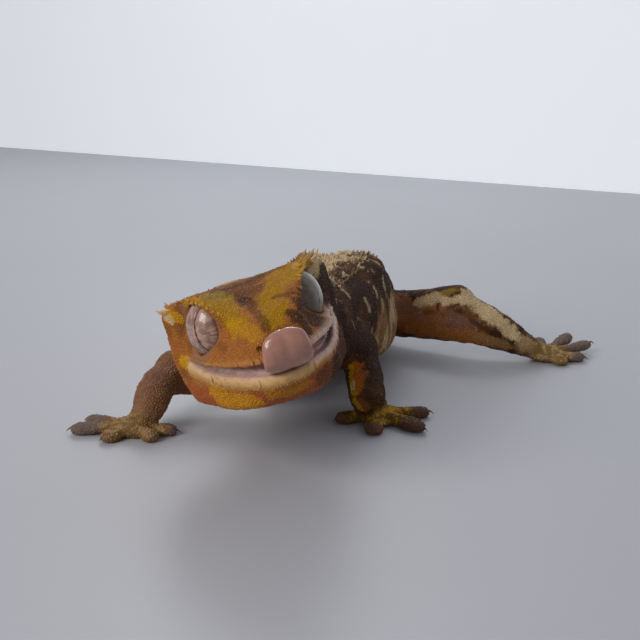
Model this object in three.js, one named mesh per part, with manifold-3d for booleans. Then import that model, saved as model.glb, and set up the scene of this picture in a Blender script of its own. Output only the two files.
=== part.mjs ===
// Crested gecko at life size: it crouches on four spread feet, turns its head to its left, tips it
// so that the left side is raised, and licks the tip of its snout. Millimetres, +Z up. The animal
// faces -Y, its left side is +X, and it rests on the plane z = 0.
import * as THREE from "three";
import { mergeVertices } from "three/addons/utils/BufferGeometryUtils.js";
import Module from "manifold-3d";

const wasm = await Module();
wasm.setup();

// Space between neighbouring pieces
const GAP = 0.3;

// Facets around each form
const HEAD_AROUND = 42;
const TRUNK_AROUND = 26;
const TAIL_AROUND = 14;
const LIMB_AROUND = 12;
const DIGIT_AROUND = 7;

// Facets along each form
const HEAD_ROWS = 23;
const NECK_ROWS = 5;
const TRUNK_ROWS = 16;
const TAIL_ROWS = 7;
const LIMB_ROWS = 5;
const DIGIT_ROWS = 3;
const TONGUE_AROUND = 14;
const TONGUE_ROWS = 9;

// The head in its own frame: the point midway between the eyes, and how it is turned from the trunk
const HEAD_CENTRE = new THREE.Vector3(-0.55, -23.15, 23.65);
const HEAD_YAW = 23.6;
const HEAD_PITCH = 6.8;
const HEAD_ROLL = 15.8;

// Head lines from the snout's tip back to the neck, one row a station. Each pair is the distance
// from the middle and the height of one line, and the single heights are on the middle itself.
//   back, crown, crest, temple, upper lip, lower lip, groove under the lip, throat's edge, throat
const HEAD = [
  [-15.9, -2.9, 0.7, -3.0, 1.1, -3.3, 1.3, -3.8, 1.2, -6.1, 0.9, -6.6, 0.6, -6.9, -7.0],
  [-15.2, -1.4, 1.8, -1.5, 2.4, -2.3, 2.7, -3.6, 2.7, -6.3, 2.2, -7.5, 1.5, -8.1, -8.3],
  [-14.0, -0.1, 2.8, -0.2, 3.6, -1.6, 4.1, -3.5, 4.1, -6.4, 3.6, -8.0, 2.5, -9.0, -9.4],
  [-12.2, 1.1, 3.9, 1.1, 4.6, -1.1, 5.6, -3.5, 5.5, -6.4, 5.0, -8.2, 3.7, -9.9, -10.4],
  [-9.5, 2.2, 5.1, 2.5, 5.5, -0.7, 7.3, -3.5, 7.2, -6.4, 6.8, -8.3, 5.4, -10.7, -11.4],
  [-5.0, 3.7, 7.0, 4.3, 5.7, 0.3, 9.2, -3.5, 9.2, -6.3, 9.0, -8.4, 7.6, -11.1, -11.9],
  [0.0, 4.6, 8.8, 5.0, 7.0, 0.5, 10.4, -3.6, 10.5, -6.3, 10.6, -8.5, 9.2, -11.3, -12.0],
  [5.0, 4.5, 11.0, 4.3, 11.7, 0.8, 11.6, -3.7, 11.9, -6.3, 12.2, -8.7, 10.6, -11.3, -11.8],
  [9.0, 3.8, 11.4, 3.3, 13.1, 0.2, 13.3, -3.7, 13.0, -6.1, 12.4, -8.3, 10.4, -10.6, -11.2],
  [13.0, 3.0, 8.6, 2.2, 10.8, -0.6, 10.9, -3.4, 10.4, -5.5, 9.6, -7.4, 7.8, -9.5, -10.1],
];
const HEAD_PAIRS = 6;
const SNOUT_TIP = [-16.2, -4.8];

// Mouth: heights of the upper and lower lips, from in front of the snout back to its corner, and
// the cut that parts the lower jaw from the head behind that corner
const MOUTH_FRONT = -19.0;
const MOUTH_CORNER = 4.6;
const UPPER_LIP_Z = -4.2;
const LOWER_LIP_FRONT_Z = -6.0;
const JAW_CUT = [[8.6, -8.2], [10.4, -14.5]];

// Eyes: a squat ball in each side of the head, its short axis pointing outward, a little forward and
// up by lift; high is its half height and across its half length
const EYE_X = { left: 6.45, right: 6.85 };
const EYE = {
  y: -0.7, z: 0.25, deep: 3.45, across: 4.05, high: 4.4, turn: 72, lift: 0.06, around: 18, rows: 10,
};
const LID = { out: 0.35, wider: 0.25, thick: 0.55, around: 20, sides: 6 };

// Openings of the head
const NOSTRIL = { x: 2.4, y: -15.0, z: -2.0, radius: 0.5, around: 8, rows: 6 };
const EAR = { x: 12.9, y: 8.6, z: -1.4, deep: 0.9, long: 0.7, high: 1.7, around: 10, rows: 6 };

// Tongue: its middle line, with half width and half thickness, from inside the mouth up the snout
const TONGUE = [
  [0.5, -9.0, -5.2, 3.0, 0.5],
  [0.5, -13.2, -5.2, 3.1, 0.7],
  [0.5, -16.2, -4.7, 3.3, 0.9],
  [0.5, -17.3, -3.1, 3.3, 1.1],
  [0.6, -17.1, -1.3, 2.9, 1.0],
  [0.7, -16.5, -0.2, 2.1, 0.8],
];
const TONGUE_CAP = 0.9;

// Trunk from the neck to the hips, one row a station: back, aside, half width, top, bottom
const TRUNK = [
  [-2.0, 0.0, 8.2, 24.6, 7.6],
  [5.0, 0.0, 9.2, 23.4, 5.2],
  [13.0, 0.2, 10.7, 22.6, 3.6],
  [22.0, 0.4, 11.8, 22.2, 2.8],
  [31.0, 0.5, 12.0, 21.7, 2.6],
  [39.0, 0.3, 10.9, 20.2, 3.0],
  [46.0, 0.1, 8.4, 17.8, 3.0],
  [52.0, 0.0, 6.2, 14.2, 2.2],
];
const TRUNK_SQUARE = { above: 2.5, below: 2.3 };
const BACK_DIP = 0.6;
const BACK_DIP_WIDTH = 3.6;

// Tail: middle line on the floor, half width and height, divided in three lengths
const TAIL = [
  [0.0, 52.0, 6.1, 2.2, 14.2],
  [0.0, 58.0, 4.7, 0.8, 10.2],
  [-0.3, 65.0, 3.9, 0.0, 7.6],
  [-2.8, 76.0, 3.2, -0.1, 6.0],
  [-8.4, 89.0, 2.7, -0.1, 5.0],
  [-14.4, 102.0, 2.2, -0.1, 4.1],
  [-17.8, 115.0, 1.7, -0.1, 3.1],
  [-17.4, 126.0, 1.6, -0.1, 2.0],
  [-15.8, 132.0, 1.2, -0.1, 1.4],
];
const TAIL_PARTS = { tail_base: [0, 3], tail_mid: [3, 5], tail_tip: [5, 8] };
const TAIL_TIP = [0.4, 1.1, -0.1];

// Legs: each length from root to end, with half height and half thickness; toe ends, with how far a
// toe that curls up lifts its pad
const LEGS = [
  {
    side: "left", upper: "upper_arm", lower: "forearm", foot: "hand",
    root: [[6.0, 0.5, 12.6, 3.4, 3.2], [8.2, 4.6, 11.4, 3.3, 3.1], [9.7, 8.0, 10.0, 3.0, 3.0]],
    shaft: [[9.7, 7.4, 9.8, 2.4, 2.4], [11.1, 3.2, 6.8, 3.0, 3.1], [12.6, -2.0, 4.3, 2.6, 2.9]],
    palm: [14.0, -0.8],
    toes: [[7.6, -3.6], [14.5, -8.0], [22.4, -5.0], [22.6, 3.0], [13.2, 7.4]],
  },
  {
    side: "right", upper: "upper_arm", lower: "forearm", foot: "hand",
    root: [[-5.6, 2.4, 9.4, 4.8, 3.4], [-13.4, -0.8, 7.8, 4.6, 3.3], [-20.4, -3.8, 7.3, 3.8, 3.0]],
    shaft: [[-20.6, -4.2, 7.4, 2.6, 2.5], [-21.8, -9.2, 6.0, 2.8, 2.8], [-21.7, -13.0, 3.8, 2.3, 2.6]],
    palm: [-23.4, -14.9],
    toes: [[-16.8, -13.8], [-19.2, -17.6], [-27.2, -19.4], [-34.0, -16.6], [-33.2, -11.8]],
  },
  {
    side: "left", upper: "thigh", lower: "shin", foot: "foot",
    root: [[6.0, 46.0, 6.8, 5.0, 4.2], [15.0, 42.6, 7.5, 4.9, 3.8], [25.0, 39.5, 8.9, 6.0, 3.4]],
    shaft: [[24.6, 39.5, 8.8, 4.6, 2.6], [31.5, 38.6, 6.3, 4.0, 2.8], [38.0, 38.2, 3.5, 2.3, 2.3]],
    palm: [41.6, 39.6],
    toes: [[46.2, 36.8], [50.0, 40.6], [51.6, 47.4, 1.3], [47.4, 53.0, 1.2], [41.0, 51.8]],
  },
  {
    side: "right", upper: "thigh", lower: "shin", foot: "foot",
    root: [[-6.0, 46.0, 8.2, 4.4, 4.0], [-13.6, 40.4, 8.4, 4.2, 3.6], [-20.0, 35.4, 8.6, 3.7, 3.2]],
    shaft: [[-20.8, 35.8, 8.4, 3.4, 3.0], [-24.0, 40.2, 6.0, 2.7, 2.6], [-26.2, 44.6, 3.5, 2.1, 2.2]],
    palm: [-28.2, 46.6],
    toes: [[-27.4, 38.6], [-35.4, 41.8], [-37.0, 47.6], [-34.6, 54.0], [-29.6, 56.0]],
  },
];
const LEG_CAP = 2.2;

// Angles that the two last rings of a limb's rounded end stand at from its middle line, in degrees
const CAP_ANGLES = [58, 28];

// Palms and toes: slender toes that widen into a climbing pad behind a small claw
const PALM = { across: 2.7, high: 1.5, z: 1.35, around: 10, rows: 6 };
const HEEL = { half: 1.9, rise: 0.4, rows: 3, cap: 1.5 };
const TOE = [
  [0.12, 1.5, 1.1, 1.3],
  [0.42, 1.2, 0.85, 0.9],
  [0.73, 0.9, 1.0, 1.45],
  [0.9, 0.85, 0.9, 1.2],
];
const TOE_CAP = 0.9;
const CLAW = { long: 1.5, radius: 0.32, z: 1.0, drop: 0.35, sunk: 0.7 };

// Crest spines: count, tallest and shortest length, base radius and lean (aside, back, up), for each
// stretch of one side; those of the head rise more the further back they stand
const SPINE_SIDES = 5;
const SPINE_SUNK = 1.6;
const SPINE_VARIES = { from: 0.8, by: 0.4 };
const HEAD_SPINES = { count: 13, from: -7.5, to: 12.0, long: 1.7, short: 0.8, radius: 0.5 };
const HEAD_SPINES_RISE = [0.4, 0.7];
const HEAD_SPINES_LEAN = [0.9, 0.25];
const HEAD_SPINES_SWELL = [0.15, 0.85];
const NECK_SPINES = { count: 5, long: 0.9, short: 0.6, radius: 0.42, lean: [0.5, 0.2, 1] };
const TRUNK_SPINES = { count: 16, x: 6.6, long: 0.8, short: 0.45, radius: 0.42, lean: [0.5, 0.3, 1] };
const TRUNK_SPINES_SPAN = [0.04, 0.94];
const SPINE_SEED = 7;

// Share by which the neck is narrower midway
const NECK_WAIST = 0.06;

// How far ahead or behind a curve's heading is read, as a share of its table
const LIMB_STEP = 0.02;
const TAIL_STEP = 0.01;

// Points of the outline in which the back's crest is looked for
const CREST_AROUND = 120;
const FLOOR_SIZE = 400;
const SHEET_REACH = 20;

// Colours of the plain solids
const SKIN = new THREE.MeshStandardMaterial({ color: 0x7a4a24, roughness: 0.75, metalness: 0 });
const DARK_SKIN = new THREE.MeshStandardMaterial({ color: 0x40291c, roughness: 0.75, metalness: 0 });
const EYEBALL = new THREE.MeshStandardMaterial({ color: 0x8a7f86, roughness: 0.12, metalness: 0 });
const WET_FLESH = new THREE.MeshStandardMaterial({ color: 0xb0707a, roughness: 0.3, metalness: 0 });

const vector = (x, y, z) => new THREE.Vector3(x, y, z);
const radians = THREE.MathUtils.degToRad;
const { lerp } = THREE.MathUtils;
const UP = vector(0, 0, 1);

// Solids and meshes

function solidOf(geometry) {
  for (const name of ["normal", "uv"]) geometry.deleteAttribute(name);
  const merged = mergeVertices(geometry);
  const vertProperties = merged.attributes.position.array;
  const triVerts = Uint32Array.from(merged.index.array);
  const solid = new wasm.Manifold(new wasm.Mesh({ numProp: 3, vertProperties, triVerts }));
  if (solid.volume() > 0) return solid;
  return new wasm.Manifold(new wasm.Mesh({ numProp: 3, vertProperties, triVerts: triVerts.reverse() }));
}

function largest(solid) {
  return solid.decompose().reduce((best, piece) => (piece.volume() > best.volume() ? piece : best));
}

function meshOf(name, solid, material) {
  const { vertProperties, triVerts } = largest(solid).getMesh();
  const geometry = new THREE.BufferGeometry();
  geometry.setAttribute("position", new THREE.BufferAttribute(vertProperties, 3));
  geometry.setIndex(new THREE.BufferAttribute(triVerts, 1));
  geometry.computeVertexNormals();
  const mesh = new THREE.Mesh(geometry, material);
  mesh.name = name;
  return mesh;
}

// A closed skin over rings of points: a sphere's grid, with its rows laid on the rings in turn and
// its two poles on the end points
function skinOver(rings, first, last) {
  const around = rings[0].length;
  const rows = [Array(around).fill(first), ...rings, Array(around).fill(last)];
  const grid = new THREE.SphereGeometry(1, around, rows.length - 1);
  rows.forEach((ring, k) => {
    for (let n = 0; n <= around; n += 1) {
      const { x, y, z } = ring[n % around];
      grid.attributes.position.setXYZ(k * (around + 1) + n, x, y, z);
    }
  });
  return solidOf(grid);
}

function middleOf(ring) {
  return ring.reduce((sum, p) => sum.add(p), vector(0, 0, 0)).divideScalar(ring.length);
}

// Flat ends: the poles lie in the planes of the end rings
function capped(rings) {
  return skinOver(rings, middleOf(rings[0]), middleOf(rings.at(-1)));
}

// A smooth row of a table, t running from 0 at its first row to 1 at its last
function rowAt(table, t) {
  const place = t * (table.length - 1);
  const k = Math.min(Math.floor(place), table.length - 2);
  const f = place - k;
  const row = (n) => table[THREE.MathUtils.clamp(n, 0, table.length - 1)];
  return table[0].map((_, column) => {
    const [a, b, c, d] = [k - 1, k, k + 1, k + 2].map((n) => row(n)[column]);
    const slope = (c - a) / 2;
    const next = (d - b) / 2;
    const cubic = 2 * b - 2 * c + slope + next;
    const square = 3 * c - 3 * b - 2 * slope - next;
    return ((cubic * f + square) * f + slope) * f + b;
  });
}

// How far along a table a value of its first column lies
function placeOf(table, value) {
  const k = Math.max(table.findIndex((row) => row[0] >= value), 1);
  const [low, high] = [table[k - 1][0], table[k][0]];
  return (k - 1 + (value - low) / (high - low)) / (table.length - 1);
}

function steps(count) {
  return Array.from({ length: count + 1 }, (_, n) => n / count);
}

// Round forms

function ball(centre, radii, around, rows) {
  const shape = new THREE.SphereGeometry(1, around, rows);
  shape.scale(...radii);
  shape.translate(...centre);
  return solidOf(shape);
}

// The box below the floor, which gives every foot its flat sole
function underFloor() {
  const shape = new THREE.BoxGeometry(FLOOR_SIZE, FLOOR_SIZE, FLOOR_SIZE);
  shape.translate(0, 0, -FLOOR_SIZE / 2);
  return solidOf(shape);
}

// A limb along a table of [x, y, z, half height, half thickness]: its root is flat, its end is
// rounded over the length cap, and a strap keeps its width along one fixed direction
function limb(table, around, rows, cap, grow = 0, strap = null) {
  const middle = (t) => vector(...rowAt(table, t).slice(0, 3));
  const ring = (t, shrink, shift) => {
    const [, , , high, thick] = rowAt(table, t);
    const near = Math.min(t, 1 - LIMB_STEP);
    const ahead = middle(near + LIMB_STEP).sub(middle(near)).normalize();
    const side = strap ?? vector(0, 0, 0).crossVectors(ahead, UP).normalize();
    const lift = vector(0, 0, 0).crossVectors(side, ahead).normalize();
    const centre = middle(t).addScaledVector(ahead, shift);
    return steps(around).slice(0, -1).map((u) => centre.clone()
      .addScaledVector(side, Math.cos(2 * Math.PI * u) * (thick + grow) * shrink)
      .addScaledVector(lift, Math.sin(2 * Math.PI * u) * (high + grow) * shrink));
  };
  const bulge = cap + grow;
  const rings = [
    ring(0, 1, -grow),
    ...steps(rows).slice(1).map((t) => ring(t, 1, 0)),
    ...CAP_ANGLES.map(radians).map((a) => ring(1, Math.sin(a), bulge * Math.cos(a))),
  ];
  return skinOver(rings, middleOf(rings[0]), middleOf(ring(1, 0, bulge)));
}

// A cone's own axis is +Y
function turnedTo(direction) {
  return new THREE.Quaternion().setFromUnitVectors(vector(0, 1, 0), direction.normalize());
}

function spine(at, lean, long, radius) {
  const sunk = radius * SPINE_SUNK;
  const shape = new THREE.ConeGeometry(radius, long + sunk, SPINE_SIDES);
  shape.translate(0, (long - sunk) / 2, 0);
  shape.applyQuaternion(turnedTo(lean));
  shape.translate(at.x, at.y, at.z);
  return solidOf(shape);
}

const join = (solids) => wasm.Manifold.union(solids);

// Head, in its own frame

const headTurn = new THREE.Matrix4()
  .makeRotationZ(radians(HEAD_YAW))
  .multiply(new THREE.Matrix4().makeRotationX(radians(-HEAD_PITCH)))
  .multiply(new THREE.Matrix4().makeRotationY(radians(-HEAD_ROLL)))
  .setPosition(HEAD_CENTRE);

const placed = (solid) => solid.transform(headTurn.toArray());
const placedPoint = (point) => point.clone().applyMatrix4(headTurn);

function headRing(t, grow) {
  const [back, crown, ...rest] = rowAt(HEAD, t);
  const throat = rest.at(-1);
  const pairs = Array.from({ length: HEAD_PAIRS }, (_, k) => [rest[2 * k], rest[2 * k + 1]]);
  const outline = new THREE.CatmullRomCurve3([
    vector(0, back, crown),
    ...pairs.map(([x, z]) => vector(x, back, z)),
    vector(0, back, throat),
    ...pairs.map(([x, z]) => vector(-x, back, z)).reverse(),
  ], true, "catmullrom", 0.5);
  const points = steps(HEAD_AROUND).slice(0, -1).map((u) => outline.getPoint(u));
  const middle = vector(0, back, (crown + throat) / 2);
  return points.map((p) => p.addScaledVector(p.clone().sub(middle).normalize(), grow));
}

function wholeHead(grow) {
  const rings = steps(HEAD_ROWS).map((t) => headRing(t, grow));
  return skinOver(rings, vector(0, SNOUT_TIP[0] - grow, SNOUT_TIP[1]), middleOf(rings.at(-1)));
}

// A sheet across the head, from its outline in the side view
function sheet(outline) {
  const side = new THREE.Shape(outline.map(([y, z]) => new THREE.Vector2(y, z)));
  const shape = new THREE.ExtrudeGeometry(side, { depth: 2 * SHEET_REACH, bevelEnabled: false });
  shape.translate(0, 0, -SHEET_REACH);
  shape.applyMatrix4(new THREE.Matrix4().makeBasis(vector(0, 1, 0), UP, vector(1, 0, 0)));
  return solidOf(shape);
}

// The open mouth, and the thin cut that parts the jaw from the head behind its corner
function mouthCut() {
  return sheet([
    [MOUTH_FRONT, UPPER_LIP_Z],
    [MOUTH_CORNER, UPPER_LIP_Z],
    ...JAW_CUT.map(([y, z]) => [y + GAP / 2, z]),
    ...JAW_CUT.map(([y, z]) => [y - GAP / 2, z]).reverse(),
    [MOUTH_CORNER - GAP / 2, UPPER_LIP_Z - GAP],
    [MOUTH_FRONT, LOWER_LIP_FRONT_Z],
  ]);
}

// The room between the lips that the tongue may fill
function tongueRoom() {
  const slope = (UPPER_LIP_Z - GAP - LOWER_LIP_FRONT_Z) / (MOUTH_CORNER - MOUTH_FRONT);
  const back = MOUTH_CORNER - GAP / slope;
  return sheet([
    [MOUTH_FRONT, UPPER_LIP_Z - GAP],
    [back, UPPER_LIP_Z - GAP],
    [MOUTH_FRONT, LOWER_LIP_FRONT_Z + GAP],
  ]);
}

// The eye's own frame: along the head, up, and outward
function eyeFrame(sign) {
  const turn = radians(EYE.turn);
  const outward = vector(sign * Math.sin(turn), -Math.cos(turn), EYE.lift).normalize();
  const up = UP.clone().addScaledVector(outward, -outward.z).normalize();
  const along = vector(0, 0, 0).crossVectors(up, outward);
  const x = sign > 0 ? EYE_X.left : -EYE_X.right;
  return new THREE.Matrix4().makeBasis(along, up, outward).setPosition(x, EYE.y, EYE.z);
}

function eyeball(sign, grow) {
  return ball([0, 0, 0], [EYE.across + grow, EYE.high + grow, EYE.deep + grow], EYE.around, EYE.rows)
    .transform(eyeFrame(sign).toArray());
}

function lid(sign) {
  const ring = new THREE.TorusGeometry(EYE.across + LID.wider, LID.thick, LID.sides, LID.around);
  ring.scale(1, EYE.high / EYE.across, 1);
  ring.translate(0, 0, LID.out);
  ring.applyMatrix4(eyeFrame(sign));
  return solidOf(ring);
}

// A length that differs a little from spine to spine
function varied(long) {
  return long * (SPINE_VARIES.from + SPINE_VARIES.by * THREE.MathUtils.seededRandom());
}

// One side's row of spines over the brow and the back of the head, tallest behind the eye
function headSpines(sign) {
  const [aside, behind] = HEAD_SPINES_LEAN;
  return steps(HEAD_SPINES.count - 1).map((f) => {
    const place = placeOf(HEAD, lerp(HEAD_SPINES.from, HEAD_SPINES.to, f));
    const [back, , x, z] = rowAt(HEAD, place);
    const swell = Math.sin(Math.PI * lerp(...HEAD_SPINES_SWELL, f));
    const long = lerp(HEAD_SPINES.short, HEAD_SPINES.long, swell);
    const lean = vector(sign * aside, behind, lerp(...HEAD_SPINES_RISE, f));
    return spine(vector(sign * x, back, z), lean, varied(long), HEAD_SPINES.radius);
  });
}

function opening(sign, { x, y, z, around, rows }, radii) {
  return ball([sign * x, y, z], radii, around, rows);
}

function headForms() {
  const both = [-1, 1];
  const shell = join([wholeHead(0), ...both.map(lid), ...both.flatMap(headSpines)]);
  const openings = both.flatMap((sign) => [
    eyeball(sign, GAP),
    opening(sign, NOSTRIL, Array(3).fill(NOSTRIL.radius)),
    opening(sign, EAR, [EAR.deep, EAR.long, EAR.high]),
  ]);
  const pieces = shell.subtract(join([mouthCut(), ...openings])).decompose();
  pieces.sort((a, b) => b.volume() - a.volume());
  const [one, two] = pieces;
  const height = (solid) => solid.boundingBox().max[2];
  return height(one) > height(two) ? { head: one, jaw: two } : { head: two, jaw: one };
}

// The tongue keeps clear of the head outside it and of both lips where it leaves the mouth
function tongueForm() {
  const whole = limb(
    TONGUE.map(([x, y, z, wide, thick]) => [x, y, z, thick, wide]),
    TONGUE_AROUND, TONGUE_ROWS, TONGUE_CAP, 0, vector(1, 0, 0),
  );
  const inside = whole.intersect(tongueRoom());
  return whole.subtract(wholeHead(GAP)).add(inside);
}

// Neck and trunk

function trunkRing(row, around, grow = 0) {
  const [back, aside, half, top, bottom] = row;
  const middle = (top + bottom) / 2;
  const high = (top - bottom) / 2 + grow;
  return steps(around).slice(0, -1).map((u) => {
    const angle = Math.PI / 2 - 2 * Math.PI * u;
    const [c, s] = [Math.cos(angle), Math.sin(angle)];
    const power = 2 / (s > 0 ? TRUNK_SQUARE.above : TRUNK_SQUARE.below);
    const x = (half + grow) * Math.sign(c) * Math.abs(c) ** power;
    const dip = s > 0 ? BACK_DIP * s * Math.exp(-((x / BACK_DIP_WIDTH) ** 2)) : 0;
    return vector(x + aside, back, middle + high * Math.sign(s) * Math.abs(s) ** power - dip);
  });
}

function trunk(grow) {
  return capped(steps(TRUNK_ROWS).map((t) => trunkRing(rowAt(TRUNK, t), TRUNK_AROUND, grow)));
}

// A point of the back's crest on one side
function backCrest(t, sign) {
  const row = rowAt(TRUNK, t);
  const [, aside, half, top, bottom] = row;
  const x = aside + sign * TRUNK_SPINES.x * Math.min(1, half / TRUNK[1][2]);
  const upper = trunkRing(row, CREST_AROUND).filter((p) => p.z > (top + bottom) / 2);
  return upper.reduce((best, p) => (Math.abs(p.x - x) < Math.abs(best.x - x) ? p : best));
}

function trunkSpines(sign) {
  const [aside, behind, rise] = TRUNK_SPINES.lean;
  return steps(TRUNK_SPINES.count - 1).map((f) => {
    const at = backCrest(lerp(...TRUNK_SPINES_SPAN, f), sign);
    const long = varied(lerp(TRUNK_SPINES.long, TRUNK_SPINES.short, f));
    return spine(at, vector(sign * aside, behind, rise), long, TRUNK_SPINES.radius);
  });
}

// The neck runs from the back of the head to the front of the trunk, GAP clear of both
function neckRings(grow) {
  const nape = headRing(1, grow).map((p) => placedPoint(p.add(vector(0, GAP, 0))));
  const front = trunkRing(TRUNK[0], HEAD_AROUND, grow).map((p) => p.sub(vector(0, GAP, 0)));
  return steps(NECK_ROWS).map((t) => nape.map((p, n) => {
    const q = p.clone().lerp(front[n], t);
    const waist = 1 - NECK_WAIST * Math.sin(Math.PI * t);
    const middle = middleOf(nape).lerp(middleOf(front), t);
    return q.sub(middle).multiplyScalar(waist).add(middle);
  }));
}

function neckForm() {
  const [aside, behind, rise] = NECK_SPINES.lean;
  const [back, , x, z] = HEAD.at(-1);
  const spines = [-1, 1].flatMap((sign) => steps(NECK_SPINES.count + 1).slice(1, -1).map((t) => {
    const at = placedPoint(vector(sign * x, back, z)).lerp(backCrest(0, sign), t);
    const long = lerp(NECK_SPINES.long, NECK_SPINES.short, t);
    return spine(at, vector(sign * aside, behind, rise), long, NECK_SPINES.radius);
  }));
  return join([capped(neckRings(0)), ...spines]);
}

// Tail

// One length of the tail between two stations, its outline standing across the middle line; it
// starts GAP behind the face that it follows
function tailForm([from, to]) {
  const last = TAIL.length - 1;
  const ring = (t, shift) => {
    const [x, y, half, bottom, top] = rowAt(TAIL, t);
    const [aheadX, aheadY] = rowAt(TAIL, Math.min(t + TAIL_STEP, 1));
    const [behindX, behindY] = rowAt(TAIL, Math.max(t - TAIL_STEP, 0));
    const ahead = vector(aheadX - behindX, aheadY - behindY, 0).normalize();
    const side = vector(ahead.y, -ahead.x, 0);
    const centre = vector(x, y, (top + bottom) / 2).addScaledVector(ahead, shift);
    return steps(TAIL_AROUND).slice(0, -1).map((u) => centre.clone()
      .addScaledVector(UP, Math.sin(2 * Math.PI * u) * (top - bottom) / 2)
      .addScaledVector(side, Math.cos(2 * Math.PI * u) * half));
  };
  const rings = steps(TAIL_ROWS).map((f) => ring((from + (to - from) * f) / last, f === 0 ? GAP : 0));
  if (to < last) return capped(rings);
  return skinOver(rings, middleOf(rings[0]), middleOf(rings.at(-1)).add(vector(...TAIL_TIP)));
}

// Legs

// A toe from the palm out to its pad, with its claw
function toe(palm, [x, y, lift = 0]) {
  const ahead = new THREE.Vector2(x - palm[0], y - palm[1]);
  const table = TOE.map(([f, z, high, wide]) => (
    [palm[0] + ahead.x * f, palm[1] + ahead.y * f, z + lift * f ** 2, high, wide]));
  const digit = limb(table, DIGIT_AROUND, DIGIT_ROWS, TOE_CAP);
  const heading = vector(ahead.x, ahead.y, 0).normalize().add(vector(0, 0, -CLAW.drop));
  const claw = new THREE.ConeGeometry(CLAW.radius, CLAW.long, SPINE_SIDES);
  claw.translate(0, CLAW.long / 2 - CLAW.sunk, 0);
  claw.applyQuaternion(turnedTo(heading));
  claw.translate(x, y, CLAW.z + lift);
  return digit.add(solidOf(claw));
}

function footForm(leg, shaftGrown) {
  const [x, y] = leg.palm;
  const wrist = leg.shaft.at(-1);
  const heel = limb([
    [...wrist.slice(0, 3), HEEL.half, HEEL.half],
    [x, y, PALM.z + HEEL.rise, PALM.high, HEEL.half],
  ], LIMB_AROUND, HEEL.rows, HEEL.cap);
  const palm = ball([x, y, PALM.z], [PALM.across, PALM.across, PALM.high], PALM.around, PALM.rows);
  return join([palm, heel, ...leg.toes.map((tip) => toe(leg.palm, tip))]).subtract(shaftGrown);
}

function legMeshes(leg, trunkGrown, floor) {
  const shape = (table, grow) => limb(table, LIMB_AROUND, LIMB_ROWS, LEG_CAP, grow);
  const root = shape(leg.root, 0).subtract(trunkGrown);
  const shaft = shape(leg.shaft, 0).subtract(join([shape(leg.root, GAP), trunkGrown]));
  const foot = footForm(leg, shape(leg.shaft, GAP)).subtract(floor);
  return [
    meshOf(`${leg.upper}_${leg.side}`, root, DARK_SKIN),
    meshOf(`${leg.lower}_${leg.side}`, shaft.subtract(floor), DARK_SKIN),
    meshOf(`${leg.foot}_${leg.side}`, foot, DARK_SKIN),
  ];
}

// The whole animal

function gecko() {
  THREE.MathUtils.seededRandom(SPINE_SEED);
  const floor = underFloor();
  const trunkGrown = trunk(GAP);
  const { head, jaw } = headForms();
  const body = new THREE.Group();
  body.add(
    meshOf("head", placed(head), SKIN),
    meshOf("lower_jaw", placed(jaw), SKIN),
    meshOf("tongue", placed(tongueForm()), WET_FLESH),
    meshOf("eye_left", placed(eyeball(1, 0)), EYEBALL),
    meshOf("eye_right", placed(eyeball(-1, 0)), EYEBALL),
    meshOf("neck", neckForm(), SKIN),
    meshOf("torso", join([trunk(0), ...[-1, 1].flatMap(trunkSpines)]), DARK_SKIN),
  );
  for (const [name, span] of Object.entries(TAIL_PARTS)) {
    body.add(meshOf(name, tailForm(span).subtract(floor), DARK_SKIN));
  }
  for (const leg of LEGS) body.add(...legMeshes(leg, trunkGrown, floor));
  return body;
}

// The origin is on the floor, under the middle of the whole animal
const group = gecko();
const bounds = new THREE.Box3().setFromObject(group);
const centre = bounds.getCenter(vector(0, 0, 0));
group.position.set(-centre.x, -centre.y, -bounds.min.z);

export default group;
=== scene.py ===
"""A crested gecko at life size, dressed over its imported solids: one skin with its folds and openings,
granular scales, lip scales, crest spines, eyes, tongue and claws, on a pale floor in soft light.

Shapes are worked out in millimetres in the animal's own frame, where +X is its left side, it faces
-Y and z = 0 is the floor, and turn to metres in the row's frame when a mesh is made."""

import math
from functools import partial

import bpy
import numpy as np
from mathutils import Matrix, Vector


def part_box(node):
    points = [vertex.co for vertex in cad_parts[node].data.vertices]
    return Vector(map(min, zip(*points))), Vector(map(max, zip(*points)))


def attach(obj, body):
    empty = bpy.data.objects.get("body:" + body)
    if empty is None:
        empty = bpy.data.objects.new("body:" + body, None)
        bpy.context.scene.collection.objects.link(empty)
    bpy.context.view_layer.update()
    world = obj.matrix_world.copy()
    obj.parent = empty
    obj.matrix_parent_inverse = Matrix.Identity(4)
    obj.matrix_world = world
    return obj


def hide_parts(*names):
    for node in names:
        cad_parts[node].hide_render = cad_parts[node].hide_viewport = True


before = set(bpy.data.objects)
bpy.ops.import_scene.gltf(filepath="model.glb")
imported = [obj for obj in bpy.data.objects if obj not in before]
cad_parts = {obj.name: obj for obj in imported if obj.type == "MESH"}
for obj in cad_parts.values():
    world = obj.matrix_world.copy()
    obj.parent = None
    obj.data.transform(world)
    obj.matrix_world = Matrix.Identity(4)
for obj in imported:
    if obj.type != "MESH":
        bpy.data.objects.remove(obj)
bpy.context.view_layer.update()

bl_info = {
    "name": "Crested gecko",
    "version": (1, 0, 0),
    "blender": (4, 5, 0),
    "location": "3D Viewport > Sidebar > Gecko",
    "description": "Builds a life-size crested gecko with granular skin, crest, eyes and tongue",
    "category": "Add Mesh",
}

SEED = 11

# Head in its own frame: the point midway between the eyes, and its turn from the trunk
HEAD_CENTRE = np.array([-0.55, -23.15, 23.65])
HEAD_YAW, HEAD_PITCH, HEAD_ROLL = 23.6, 6.8, 15.8

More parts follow.
